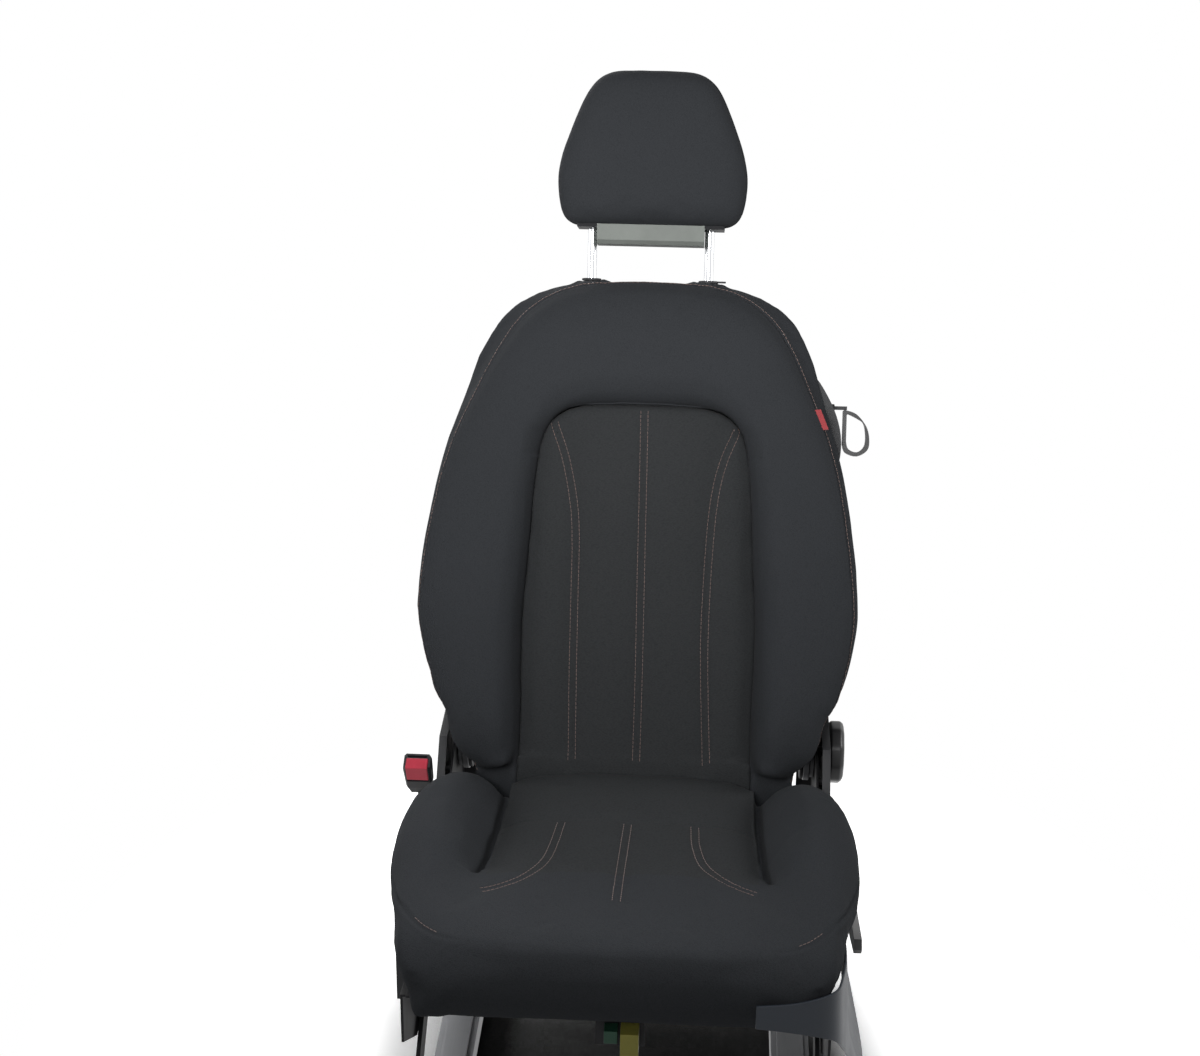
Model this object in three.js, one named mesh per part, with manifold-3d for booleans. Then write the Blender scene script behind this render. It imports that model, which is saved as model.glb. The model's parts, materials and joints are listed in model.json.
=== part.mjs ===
// A sports-style front seat of a three-door road car, rebuilt as an assembly: rails, height links,
// cushion frame and pads, recliner, folding backrest, head restraint, belt buckle and belt guide.
//
// Millimetres, +Z up. The seat faces -Y and its outboard side is +X. The floor is z = 0.
// Three frames are used. The car frame holds the rails, links and cushion frame. The back frame has
// its origin on the recliner axis, z up along the backrest and -y out of its front. The cushion
// frame has its origin where the two upholstered faces meet, -y forward along the cushion and z up
// out of it. The head frame sits on the back frame where the two posts leave the upholstery.

import * as THREE from 'three';
import { mergeVertices } from 'three/addons/utils/BufferGeometryUtils.js';
import Module from 'manifold-3d';

const wasm = await Module();
wasm.setup();

// ---- Driving sizes --------------------------------------------------------------------------

const GAP = 0.3; // air left between pieces that seat on each other

// Floor feet and rails
const RAIL_SPACING = 406;
const RAIL_LENGTH = 540;
const RAIL_MIDDLE = -120;
const RAIL_WIDTH = 46;
const RAIL_HEIGHT = 30;
const RAIL_WALL = 2.5;
const RAIL_SLOT = 18;
const FOOT_HEIGHT = 20;
const FOOT_PLATE = 6;
const FOOT_WIDTH = 40;
const FOOT_RISER = 38;
const FOOT_TAB = 36;
const FLOOR_BOLT_RADIUS = 5.5;
const SLIDER_LENGTH = 450;
const SLIDER_MIDDLE = -150;
const SLIDER_HEAD = 32;
const SLIDER_PLATE = 3;
const SLIDER_STEM = 6;
const SLIDER_RISE = 3;

// Height links: two pairs of equal, parallel arms
const LINK_LENGTH = 85;
const LINK_ANGLE = 35;
const LINK_PLATE = 5;
const LINK_RADIUS = 16;
const LINK_PIN_RADIUS = 6;
const BRACKET_PLATE = 4;
const BRACKET_INSET = 11;
const REAR_TUBE = { y: 75, z: 165, radius: 13, bore: 10.5 };
const FRONT_TUBE = { y: -270, z: 180, radius: 11, bore: 8.5 };

// Recliner and the stack of plates beside it, from the inside out
const RECLINER = { y: 140, z: 300 };
const FRAME_HALF_WIDTH = 206;
const FRAME_PLATE = 3;
const FOLD_ARM_PLATE = 4;
const FOLD_ARM_SPACE = 3;
const GEAR_THICKNESS = 13.7;
const GEAR_RADIUS = 38;
const MEMBER_PLATE = 3;
const COVER_SPACE = 3;
const COVER_DEPTH = 10;
const COVER_WALL = 2.5;
const COVER_RADIUS = 56;
const SHAFT_RADIUS = 6;
const LEVER_SPACE = 30.7;
const WHEEL_RADIUS = 40.5;
const WHEEL_DEPTH = 19.5;
const WHEEL_LOBES = 10;
const WHEEL_LOBE_DEPTH = 1.8;
const FOLD_PIVOT = { up: 60, out: 55, radius: 7, boss: 17 };
const FOLD_LIMIT = 38;
const UPRIGHT_LIMIT = 4;

// Backrest
const BACK_ANGLE = 23;
const BACK_HEIGHT = 599;
const BACK_HALF_WIDTH = 271;
const BACK_FACE = 100;
const BACK_REAR = 28;
const BOLSTER_CREST = 157;
const SHOULDER_CREST = 112;
const INSERT_HALF_WIDTH = 148;
const INSERT_TOP = 437;
const GUSSET_WALL = 24;
const FRAME_FRONT = 34;
const FRAME_FLANGE = 18;
const REAR_PANEL_WALL = 3;
const WIRE_RADIUS = 2.2;
const TOP_TUBE_RADIUS = 13;
const TOP_TUBE_DROP = 73;
const GUIDE_DROP = 174; // from the backrest's top edge to the middle of the belt guide's dome
const STITCH_OFFSET = 84;
const CHANNEL_DEPTH = 3.5;
const CHANNEL_WIDTH = 15;

// Cushion
const CUSHION_ANGLE = 7;
const CUSHION_LENGTH = 476;
const CUSHION_DEPTH = 86;
const CUSHION_HALF_WIDTH = 271;
const CUSHION_SIDE_DEPTH = 60;
const CUSHION_CREST = 38;
const CREASE_HALF_WIDTH = 154;
const CROSS_SEAM = 150;
const PAN_SHEET = 2;
const MEMBER_FLANGE = 16;

// Head restraint
const HEAD_ANGLE = 19.5;
const POST_SPACING = 150;
const POST_RADIUS = 6;
const POST_DEPTH = 80;
const POST_TOP = 160;
const POST_EXIT_DROP = 1.5; // from the backrest's top edge to where the posts leave it
const POST_EXIT_OUT = 38.5;
const HEAD_BOTTOM = 72;
const HEAD_HEIGHT = 194;
const HEAD_HALF_WIDTH = 121;
const HEAD_FRONT = 60;
const HEAD_REAR = 38;
const HEAD_BASE_DROP = 25;
const HEAD_SHELL = 4;
const SLEEVE_RADIUS = 9.5;
const SLEEVE_DEPTH = 92;
const COLLAR_RADIUS = 12.5;
const COLLAR_HEIGHT = 2.4;
const SLEEVE_TOP = 1.6;

// ---- Small helpers --------------------------------------------------------------------------

const rad = THREE.MathUtils.degToRad;
const SIDES = { inboard: -1, outboard: 1 };

function toSolid(geometry) {
  const bare = new THREE.BufferGeometry();
  bare.setAttribute('position', geometry.attributes.position.clone());
  if (geometry.index) bare.setIndex(geometry.index.clone());
  const merged = mergeVertices(bare, 1e-3);
  return new wasm.Manifold(new wasm.Mesh({
    numProp: 3,
    vertProperties: new Float32Array(merged.attributes.position.array),
    triVerts: new Uint32Array(merged.index.array),
  }));
}

function toGeometry(solid) {
  const { vertProperties, triVerts } = solid.getMesh();
  const geometry = new THREE.BufferGeometry();
  geometry.setAttribute('position', new THREE.BufferAttribute(vertProperties, 3));
  geometry.setIndex(new THREE.BufferAttribute(triVerts, 1));
  return geometry;
}

const cut = (body, ...tools) =>
  toGeometry(tools.reduce((solid, tool) => solid.subtract(toSolid(tool)), toSolid(body)));

const join = (body, ...others) =>
  toGeometry(others.reduce((solid, other) => solid.add(toSolid(other)), toSolid(body)));

const box = (x0, x1, y0, y1, z0, z1) =>
  new THREE.BoxGeometry(x1 - x0, y1 - y0, z1 - z0)
    .translate((x0 + x1) / 2, (y0 + y1) / 2, (z0 + z1) / 2);

function extrude(points, depth, holes = []) {
  const shape = new THREE.Shape(points.map(([a, b]) => new THREE.Vector2(a, b)));
  shape.holes = holes.map((hole) => new THREE.Path(hole.map(([a, b]) => new THREE.Vector2(a, b))));
  return new THREE.ExtrudeGeometry(shape, { depth, bevelEnabled: false });
}

const X = new THREE.Vector3(1, 0, 0);
const Y = new THREE.Vector3(0, 1, 0);
const Z = new THREE.Vector3(0, 0, 1);

// An outline of [y, z] points between two x planes, on either side of the seat
function plateX(points, xa, xb, holes) {
  const [low, high] = [Math.min(xa, xb), Math.max(xa, xb)];
  return extrude(points, high - low, holes)
    .applyMatrix4(new THREE.Matrix4().makeBasis(Y, Z, X))
    .translate(low, 0, 0);
}

// An outline of [x, z] points between two y planes
function plateY(points, ya, yb, holes) {
  const [low, high] = [Math.min(ya, yb), Math.max(ya, yb)];
  return extrude(points, high - low, holes)
    .applyMatrix4(new THREE.Matrix4().makeBasis(X, Z, Y.clone().negate()))
    .translate(0, high, 0);
}

function rod(from, to, radius, sides = 16) {
  const axis = new THREE.Vector3().subVectors(to, from);
  const turn = new THREE.Quaternion().setFromUnitVectors(Y, axis.clone().normalize());
  return new THREE.CylinderGeometry(radius, radius, axis.length(), sides)
    .applyQuaternion(turn)
    .translate((from.x + to.x) / 2, (from.y + to.y) / 2, (from.z + to.z) / 2);
}

const rodX = (xa, xb, y, z, radius, sides) =>
  rod(new THREE.Vector3(xa, y, z), new THREE.Vector3(xb, y, z), radius, sides);

const tubeX = (half, y, z, outer, inner) =>
  cut(rodX(-half, half, y, z, outer, 20), rodX(-half - 1, half + 1, y, z, inner, 16));

function circle(y, z, radius, count = 24, from = 0, to = 360) {
  const full = to - from === 360;
  return Array.from({ length: full ? count : count + 1 }, (_, i) => {
    const angle = rad(from + (to - from) * i / count);
    return [y + radius * Math.cos(angle), z + radius * Math.sin(angle)];
  });
}

// The band that two equal circles and their tangents make
function stadium([ya, za], [yb, zb], radius) {
  const turn = THREE.MathUtils.radToDeg(Math.atan2(zb - za, yb - ya));
  return [
    ...circle(ya, za, radius, 10, turn + 90, turn + 270),
    ...circle(yb, zb, radius, 10, turn - 90, turn + 90),
  ];
}

// An outline drawn in by a distance; the outline runs counterclockwise
function inset(points, distance) {
  return points.map((point, i) => {
    const before = points[(i + points.length - 1) % points.length];
    const after = points[(i + 1) % points.length];
    const a = new THREE.Vector2(point[0] - before[0], point[1] - before[1]).normalize();
    const b = new THREE.Vector2(after[0] - point[0], after[1] - point[1]).normalize();
    const inward = new THREE.Vector2(-a.y - b.y, a.x + b.x);
    const reach = distance * 2 / Math.max(inward.lengthSq(), 1);
    return [point[0] + inward.x * reach, point[1] + inward.y * reach];
  });
}

// A smooth pass through rows of numbers, t running from 0 to 1
function smooth(rows, t) {
  const place = t * (rows.length - 1);
  const i = Math.min(Math.floor(place), rows.length - 2);
  const f = place - i;
  const row = (k) => rows[THREE.MathUtils.clamp(k, 0, rows.length - 1)];
  return rows[0].map((_, c) => {
    const [a, b, d, e] = [row(i - 1)[c], row(i)[c], row(i + 1)[c], row(i + 2)[c]];
    const bend = (2 * a - 5 * b + 4 * d - e) * f * f + (3 * b - a - 3 * d + e) * f * f * f;
    return b + ((d - a) * f + bend) / 2;
  });
}

function flatCap(ring, flip) {
  const normal = new THREE.Vector3();
  ring.forEach((p, i) => normal.add(p.clone().cross(ring[(i + 1) % ring.length])));
  normal.normalize();
  const across = new THREE.Vector3().subVectors(ring[1], ring[0]).normalize();
  const up = normal.clone().cross(across);
  const flat = ring.map((p) => new THREE.Vector2(p.dot(across), p.dot(up)));
  return THREE.ShapeUtils.triangulateShape(flat, []).map(([a, b, c]) => {
    const turn = flat[b].clone().sub(flat[a]).cross(flat[c].clone().sub(flat[a]));
    return (turn > 0) === flip ? [a, c, b] : [a, b, c];
  });
}

// A closed skin over a row of rings that have equal numbers of points
function loft(rings) {
  const count = rings[0].length;
  const faces = [];
  for (let i = 0; i < rings.length - 1; i += 1) {
    for (let j = 0; j < count; j += 1) {
      const [a, b] = [i * count + j, i * count + (j + 1) % count];
      faces.push([a, b, b + count], [a, b + count, a + count]);
    }
  }
  const last = (rings.length - 1) * count;
  faces.push(...flatCap(rings[0], true));
  faces.push(...flatCap(rings[rings.length - 1], false).map((face) => face.map((v) => v + last)));
  const points = rings.flat();
  const volume = faces.reduce((sum, [a, b, c]) =>
    sum + points[a].dot(points[b].clone().cross(points[c])), 0);
  const geometry = new THREE.BufferGeometry();
  geometry.setAttribute('position',
    new THREE.Float32BufferAttribute(points.flatMap((p) => p.toArray()), 3));
  geometry.setIndex(faces.flatMap(([a, b, c]) => (volume > 0 ? [a, b, c] : [a, c, b])));
  return geometry;
}

const steps = (count) => Array.from({ length: count + 1 }, (_, i) => i / count);

// A straight-sided path with rounded corners
function bentPath(points, radius) {
  const path = new THREE.CurvePath();
  let from = points[0];
  for (let i = 1; i < points.length - 1; i += 1) {
    const corner = points[i];
    const back = new THREE.Vector3().subVectors(from, corner).setLength(radius).add(corner);
    const on = new THREE.Vector3().subVectors(points[i + 1], corner).setLength(radius).add(corner);
    path.add(new THREE.LineCurve3(from, back));
    path.add(new THREE.QuadraticBezierCurve3(back, corner, on));
    from = on;
  }
  path.add(new THREE.LineCurve3(from, points[points.length - 1]));
  return path;
}

function bentRod(points, radius, bend, count) {
  const section = new THREE.Shape(circle(0, 0, radius, 8).map(([a, b]) => new THREE.Vector2(a, b)));
  return new THREE.ExtrudeGeometry(section,
    { steps: count, bevelEnabled: false, extrudePath: bentPath(points, bend) });
}

// ---- Places worked out from the driving sizes --------------------------------------------------

const RAIL_X = RAIL_SPACING / 2;
const RAIL_BOTTOM = FOOT_HEIGHT + GAP;
const SLIDER_BOTTOM = RAIL_BOTTOM + RAIL_WALL + GAP;
const HEAD_PLATE_BOTTOM = RAIL_BOTTOM + RAIL_HEIGHT + SLIDER_RISE;
const HEAD_PLATE_TOP = HEAD_PLATE_BOTTOM + SLIDER_PLATE;
const RAIL_FRONT = RAIL_MIDDLE - RAIL_LENGTH / 2;
const RAIL_BACK = RAIL_MIDDLE + RAIL_LENGTH / 2;
const SLIDER_FRONT = SLIDER_MIDDLE - SLIDER_LENGTH / 2;
const SLIDER_BACK = SLIDER_MIDDLE + SLIDER_LENGTH / 2;

const FOLD_ARM_X = FRAME_HALF_WIDTH + FRAME_PLATE + FOLD_ARM_SPACE;
const GEAR_X = FOLD_ARM_X + FOLD_ARM_PLATE + GAP;
const MEMBER_X = GEAR_X + GEAR_THICKNESS + GAP;
const COVER_X = MEMBER_X + MEMBER_PLATE + COVER_SPACE;
const WHEEL_X = COVER_X + COVER_DEPTH + 2;
const BRACKET_X = RAIL_X + BRACKET_INSET;
const LINK_X = MEMBER_X - COVER_SPACE - LINK_PLATE;
const SHAFT_BORE = SHAFT_RADIUS + GAP;

const [BACK_SIN, BACK_COS] = [Math.sin(rad(BACK_ANGLE)), Math.cos(rad(BACK_ANGLE))];
const [SEAT_SIN, SEAT_COS] = [Math.sin(rad(CUSHION_ANGLE)), Math.cos(rad(CUSHION_ANGLE))];

// [y, z] in the car frame of a place up the backrest and out of it
const onBack = (up, out) => [
  RECLINER.y + up * BACK_SIN - out * BACK_COS,
  RECLINER.z + up * BACK_COS + out * BACK_SIN,
];
const MEETING_UP = -27;
const MEETING = onBack(MEETING_UP, BACK_FACE);

// [y, z] in the car frame of a place along the cushion and above it
const onCushion = (along, above) => [
  MEETING[0] - along * SEAT_COS + above * SEAT_SIN,
  MEETING[1] + along * SEAT_SIN + above * SEAT_COS,
];
// How high the car frame's z is at y, at a height above the cushion's face
const cushionHeight = (y, above) =>
  MEETING[1] + (MEETING[0] - y) * SEAT_SIN / SEAT_COS + above / SEAT_COS;

function linkFoot(tube) {
  const [run, rise] = [Math.cos(rad(LINK_ANGLE)), Math.sin(rad(LINK_ANGLE))];
  return { y: tube.y - LINK_LENGTH * run, z: tube.z - LINK_LENGTH * rise };
}
const REAR_PIN = linkFoot(REAR_TUBE);
const FRONT_PIN = linkFoot(FRONT_TUBE);

const PAD_BACK = FRAME_FRONT + 2 * WIRE_RADIUS + 2 * GAP;
const POST_EXIT = { up: BACK_HEIGHT - POST_EXIT_DROP, out: POST_EXIT_OUT };
const TOP_TUBE_UP = BACK_HEIGHT - TOP_TUBE_DROP;
const GUIDE_UP = BACK_HEIGHT - GUIDE_DROP;
const LEVER_X = COVER_X + LEVER_SPACE;
const PAN_TOP = -(CUSHION_DEPTH + GAP);
const PAN_BOTTOM = PAN_TOP - PAN_SHEET;

// ---- Groups and materials ----------------------------------------------------------------------

const seat = new THREE.Group();
const back = new THREE.Group();
back.position.set(0, RECLINER.y, RECLINER.z);
back.rotation.x = -rad(BACK_ANGLE);
seat.add(back);

const cushion = new THREE.Group();
cushion.position.set(0, ...MEETING);
cushion.rotation.x = -rad(CUSHION_ANGLE);
seat.add(cushion);

const head = new THREE.Group();
head.position.set(0, -POST_EXIT.out, POST_EXIT.up);
head.rotation.x = rad(BACK_ANGLE - HEAD_ANGLE);
back.add(head);

const finish = (color, roughness, metalness = 0) => ({ color, roughness, metalness });
const FINISHES = {
  cloth: finish(0x3c3e42, 0.85),
  insert: finish(0x3a3c3c, 0.9),
  steel: finish(0x2a2b2d, 0.45, 0.6),
  zinc: finish(0x9a9c9e, 0.4, 0.9),
  chrome: finish(0xd8dadc, 0.1, 1),
  plastic: finish(0x1c1d1f, 0.5),
  gloss: finish(0x121315, 0.2),
  valance: finish(0x2c3036, 0.4),
  grey: finish(0x5f6468, 0.6),
  red: finish(0xc02238, 0.5),
  tag: finish(0xa81e2e, 0.7),
  yellow: finish(0x8a8538, 0.5),
  green: finish(0x1f3a2a, 0.5),
  carpet: finish(0x2b2b2c, 0.95),
};

function add(name, geometry, look, group = seat) {
  const mesh = new THREE.Mesh(geometry, new THREE.MeshStandardMaterial(FINISHES[look]));
  mesh.name = name;
  group.add(mesh);
  return mesh;
}

// ---- Floor feet and lower rails ---------------------------------------------------------------

function footOutline(end, outward) {
  const riser = end - outward * FOOT_RISER;
  const tab = end + outward * FOOT_TAB;
  const outline = [
    [riser, 0], [tab, 0], [tab, FOOT_PLATE], [end + outward * 7, FOOT_PLATE],
    [end, FOOT_HEIGHT], [riser, FOOT_HEIGHT],
  ];
  return { outline, bolt: (end + 7 * outward + tab) / 2 };
}

function foot(x, end, outward) {
  const { outline, bolt } = footOutline(end, outward);
  const hole = rod(new THREE.Vector3(x, bolt, -1), new THREE.Vector3(x, bolt, FOOT_PLATE + 1),
    FLOOR_BOLT_RADIUS, 16);
  return cut(plateX(outline, x - FOOT_WIDTH / 2, x + FOOT_WIDTH / 2), hole);
}

function lowerRail(x) {
  const [half, slot] = [RAIL_WIDTH / 2, RAIL_SLOT / 2];
  const [low, top, wall] = [RAIL_BOTTOM, RAIL_BOTTOM + RAIL_HEIGHT, RAIL_WALL];
  const channel = [
    [x - half, low], [x + half, low], [x + half, top], [x + slot, top], [x + slot, top - wall],
    [x + half - wall, top - wall], [x + half - wall, low + wall], [x - half + wall, low + wall],
    [x - half + wall, top - wall], [x - slot, top - wall], [x - slot, top], [x - half, top],
  ];
  return plateY(channel, RAIL_FRONT, RAIL_BACK);
}

for (const [side, sign] of Object.entries(SIDES)) {
  const x = sign * RAIL_X;
  add(`lower_rail_${side}`, lowerRail(x), 'zinc');
  add(`front_foot_${side}`, foot(x, RAIL_FRONT + 6, -1), 'steel');
  add(`rear_foot_${side}`, foot(x, RAIL_BACK - 6, 1), 'steel');
}

// ---- Upper rails with their link brackets ------------------------------------------------------

const RELEASE_PIVOT = { y: SLIDER_FRONT + 25, z: HEAD_PLATE_TOP + 9, radius: 4 };
const RELEASE_LUG = { x: RAIL_X - SLIDER_HEAD / 2, plate: 4 };

function bracket(sign, pin) {
  const base = HEAD_PLATE_BOTTOM + SLIDER_PLATE / 2;
  const outline = [[pin.y - 38, base], [pin.y + 38, base], ...circle(pin.y, pin.z, 14, 8, 0, 180)];
  const plate = plateX(outline, sign * BRACKET_X, sign * (BRACKET_X + BRACKET_PLATE));
  const linkOuter = LINK_X + LINK_PLATE;
  const pivot = rodX(sign * (BRACKET_X + 1), sign * (linkOuter + GAP + 1), pin.y, pin.z,
    LINK_PIN_RADIUS);
  const pinHead = rodX(sign * (linkOuter + GAP), sign * (linkOuter + GAP + 2), pin.y, pin.z,
    LINK_PIN_RADIUS + 3);
  return join(plate, pivot, pinHead);
}

function upperRail(sign) {
  const x = sign * RAIL_X;
  const [stem, wide] = [SLIDER_STEM / 2, SLIDER_HEAD / 2];
  const [low, top] = [SLIDER_BOTTOM, HEAD_PLATE_TOP];
  const beam = [
    [x - wide, low], [x + wide, low], [x + wide, low + SLIDER_PLATE], [x + stem, low + SLIDER_PLATE],
    [x + stem, top - SLIDER_PLATE], [x + wide, top - SLIDER_PLATE], [x + wide, top], [x - wide, top],
    [x - wide, top - SLIDER_PLATE], [x - stem, top - SLIDER_PLATE], [x - stem, low + SLIDER_PLATE],
    [x - wide, low + SLIDER_PLATE],
  ];
  const { y, z, radius } = RELEASE_PIVOT;
  const lug = plateX([[y - 12, top - 1], [y + 12, top - 1], [y + 8, z + 8], [y - 8, z + 8]],
    sign * RELEASE_LUG.x, sign * (RELEASE_LUG.x + RELEASE_LUG.plate));
  const bore = rodX(sign * (RELEASE_LUG.x - 1), sign * (RELEASE_LUG.x + RELEASE_LUG.plate + 1),
    y, z, radius + GAP, 16);
  return cut(join(plateY(beam, SLIDER_FRONT, SLIDER_BACK), lug,
    bracket(sign, REAR_PIN), bracket(sign, FRONT_PIN)), bore);
}

for (const [side, sign] of Object.entries(SIDES)) {
  add(`upper_rail_${side}`, upperRail(sign), 'zinc');
}

// ---- Track release bar -------------------------------------------------------------------------

const BAR = { radius: 5, x: RELEASE_LUG.x - GAP - 8, reach: 62, lift: 12 };

function releaseBar() {
  const { y, z, radius } = RELEASE_PIVOT;
  const grip = [y - BAR.reach, z + BAR.lift];
  const path = [[-BAR.x, y, z], [-BAR.x, ...grip], [BAR.x, ...grip], [BAR.x, y, z]]
    .map((p) => new THREE.Vector3(...p));
  const stub = (sign) => rodX(sign * (BAR.x - BAR.radius), sign * (RELEASE_LUG.x + RELEASE_LUG.plate),
    y, z, radius, 16);
  return join(bentRod(path, BAR.radius, 28, 26), stub(1), stub(-1));
}
add('track_release_bar', releaseBar(), 'steel');

// ---- Height links ------------------------------------------------------------------------------

function link(sign, tube, pin) {
  const holes = [circle(pin.y, pin.z, LINK_PIN_RADIUS + GAP, 16),
    circle(tube.y, tube.z, tube.radius + GAP, 24)];
  return plateX(stadium([pin.y, pin.z], [tube.y, tube.z], LINK_RADIUS + 2),
    sign * LINK_X, sign * (LINK_X + LINK_PLATE), holes);
}

const TUBE_END = MEMBER_X + MEMBER_PLATE + 1.5;
add('rear_torque_tube', tubeX(TUBE_END, REAR_TUBE.y, REAR_TUBE.z, REAR_TUBE.radius, REAR_TUBE.bore),
  'steel');
add('front_cross_tube',
  tubeX(TUBE_END, FRONT_TUBE.y, FRONT_TUBE.z, FRONT_TUBE.radius, FRONT_TUBE.bore), 'steel');
for (const [side, sign] of Object.entries(SIDES)) {
  add(`rear_link_${side}`, link(sign, REAR_TUBE, REAR_PIN), 'steel');
  add(`front_link_${side}`, link(sign, FRONT_TUBE, FRONT_PIN), 'steel');
}

// ---- Cushion frame -----------------------------------------------------------------------------

const PUMP = { y: -55, z: 200, radius: 28, depth: 20, shaft: 8 };
const MEMBER_FRONT = onCushion(CUSHION_LENGTH - 36, 0)[0];
const MEMBER_STEP_ALONG = 118;
const MEMBER_STEP = onCushion(MEMBER_STEP_ALONG - 6, 0)[0];

const MEMBER_REAR = [[RECLINER.y + 30, RECLINER.z - 125],
  circle(RECLINER.y, RECLINER.z, GEAR_RADIUS + 8, 1, -20, 0)[0]];

function memberOutline() {
  const top = (y) => cushionHeight(y, PAN_BOTTOM) - GAP;
  const { y, z } = RECLINER;
  return [
    [MEMBER_FRONT, top(MEMBER_FRONT)], [MEMBER_FRONT, top(MEMBER_FRONT) - 62],
    [FRONT_TUBE.y - 34, FRONT_TUBE.z - 24], [FRONT_TUBE.y + 30, FRONT_TUBE.z - 28],
    [REAR_TUBE.y - 10, REAR_TUBE.z - 26], [REAR_TUBE.y + 34, REAR_TUBE.z - 22],
    MEMBER_REAR[0], ...circle(y, z, GEAR_RADIUS + 8, 12, -20, 130),
    [MEMBER_STEP, top(MEMBER_STEP)],
  ];
}

function seatMember(sign) {
  const top = (y) => cushionHeight(y, PAN_BOTTOM) - GAP;
  const inner = sign * MEMBER_X;
  const outer = sign * (MEMBER_X + MEMBER_PLATE);
  const web = plateX(memberOutline(), inner, outer);
  const flange = plateX([
    [MEMBER_FRONT, top(MEMBER_FRONT) - MEMBER_PLATE], [MEMBER_STEP, top(MEMBER_STEP) - MEMBER_PLATE],
    [MEMBER_STEP, top(MEMBER_STEP)], [MEMBER_FRONT, top(MEMBER_FRONT)],
  ], sign * (MEMBER_X - MEMBER_FLANGE), outer);
  const rear = plateX([...MEMBER_REAR, ...MEMBER_REAR.map(([y, z]) => [y - MEMBER_PLATE, z]).reverse()],
    sign * (FRAME_HALF_WIDTH + FRAME_PLATE + 2), outer);
  const bore = (y, z, radius) => rodX(inner - sign, outer + sign, y, z, radius + GAP);
  const bores = [
    bore(RECLINER.y, RECLINER.z, SHAFT_RADIUS),
    bore(REAR_TUBE.y, REAR_TUBE.z, REAR_TUBE.radius),
    bore(FRONT_TUBE.y, FRONT_TUBE.z, FRONT_TUBE.radius + 0.4),
  ];
  if (sign > 0) bores.push(bore(PUMP.y, PUMP.z, PUMP.shaft));
  return cut(join(web, flange, rear), ...bores);
}

for (const [side, sign] of Object.entries(SIDES)) {
  add(`seat_side_member_${side}`, seatMember(sign), 'steel');
}

// The pan is a pressed sheet with the connector bracket folded down from its front
const PAN_HALF_WIDTH = MEMBER_X - 4;
const PAN_FRONT = CUSHION_LENGTH - 40;
const PAN_REAR = 40;
const PLUG_BRACKET = { behind: 21, plate: 2, left: -22, right: 32, drop: 63 };
const PLUG_Y = onCushion(PAN_FRONT, PAN_BOTTOM)[0] + PLUG_BRACKET.behind;
const PLUG_TOP = cushionHeight(PLUG_Y, PAN_BOTTOM);

function seatPan() {
  const sheet = plateX([
    onCushion(PAN_FRONT, PAN_BOTTOM), onCushion(PAN_REAR, PAN_BOTTOM),
    onCushion(PAN_REAR, PAN_TOP), onCushion(PAN_FRONT, PAN_TOP),
  ], -PAN_HALF_WIDTH, PAN_HALF_WIDTH);
  const { plate, left, right, drop } = PLUG_BRACKET;
  const tab = box(left, right, PLUG_Y, PLUG_Y + plate, PLUG_TOP - drop, PLUG_TOP + 1);
  return join(sheet, tab);
}
add('seat_pan', seatPan(), 'steel');

// A connector housing on the bracket, between two drops below the pan
function plug(left, right, depth, low, high) {
  const face = PLUG_Y - GAP;
  return box(left, right, face - depth, face, PLUG_TOP - low, PLUG_TOP - high);
}
add('yellow_connector', plug(6, 26, 24, 60, 31), 'yellow');
add('green_connector', plug(-12, 3, 17, 49, 33), 'green');

// ---- Height pump and lever ---------------------------------------------------------------------

const LEVER_PLATE = 9;

function heightPump() {
  const face = MEMBER_X - GAP;
  const drum = rodX(face - PUMP.depth, face, PUMP.y, PUMP.z, PUMP.radius, 28);
  const shaft = rodX(face - 1, LEVER_X + 5, PUMP.y, PUMP.z, PUMP.shaft);
  return join(drum, shaft);
}
add('height_pump', heightPump(), 'zinc');

function heightLever() {
  const tip = [PUMP.y - 165, PUMP.z + 42];
  const arm = [
    [PUMP.y - 6, PUMP.z + 19], [tip[0] + 4, tip[1] + 9], [tip[0] - 5, tip[1]],
    [tip[0] + 2, tip[1] - 9], [PUMP.y - 30, PUMP.z - 10], [PUMP.y, PUMP.z - 16],
  ];
  const hub = rodX(LEVER_X, LEVER_X + LEVER_PLATE, PUMP.y, PUMP.z, 20, 24);
  const handle = join(hub, plateX(arm, LEVER_X, LEVER_X + LEVER_PLATE));
  return cut(handle, rodX(LEVER_X - 1, LEVER_X + 5 + GAP, PUMP.y, PUMP.z, PUMP.shaft + GAP));
}
add('height_lever', heightLever(), 'gloss');

// ---- Recliner ----------------------------------------------------------------------------------

function reclinerGear(sign) {
  const face = sign * GEAR_X;
  const rim = rodX(face + sign * 4, face + sign * GEAR_THICKNESS, RECLINER.y, RECLINER.z,
    GEAR_RADIUS - 4, 32);
  const disc = rodX(face, face + sign * 8, RECLINER.y, RECLINER.z, GEAR_RADIUS, 32);
  const bore = rodX(face - sign, face + sign * (GEAR_THICKNESS + 1), RECLINER.y, RECLINER.z,
    SHAFT_BORE);
  return cut(join(disc, rim), bore);
}

// The arm turns with the recliner and carries the backrest's fold pivot above it
function foldArm(sign) {
  const axis = [0, 0];
  const pivot = [-FOLD_PIVOT.out, FOLD_PIVOT.up];
  const turn = THREE.MathUtils.radToDeg(Math.atan2(pivot[1], pivot[0]));
  const outline = [
    ...circle(...axis, GEAR_RADIUS - 2, 16, turn + 80, turn + 280),
    ...circle(...pivot, FOLD_PIVOT.boss, 10, turn - 75, turn + 75),
  ];
  const holes = [circle(...axis, SHAFT_BORE, 16), circle(...pivot, FOLD_PIVOT.radius + GAP, 16)];
  return plateX(outline, sign * FOLD_ARM_X, sign * (FOLD_ARM_X + FOLD_ARM_PLATE), holes);
}

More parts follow.
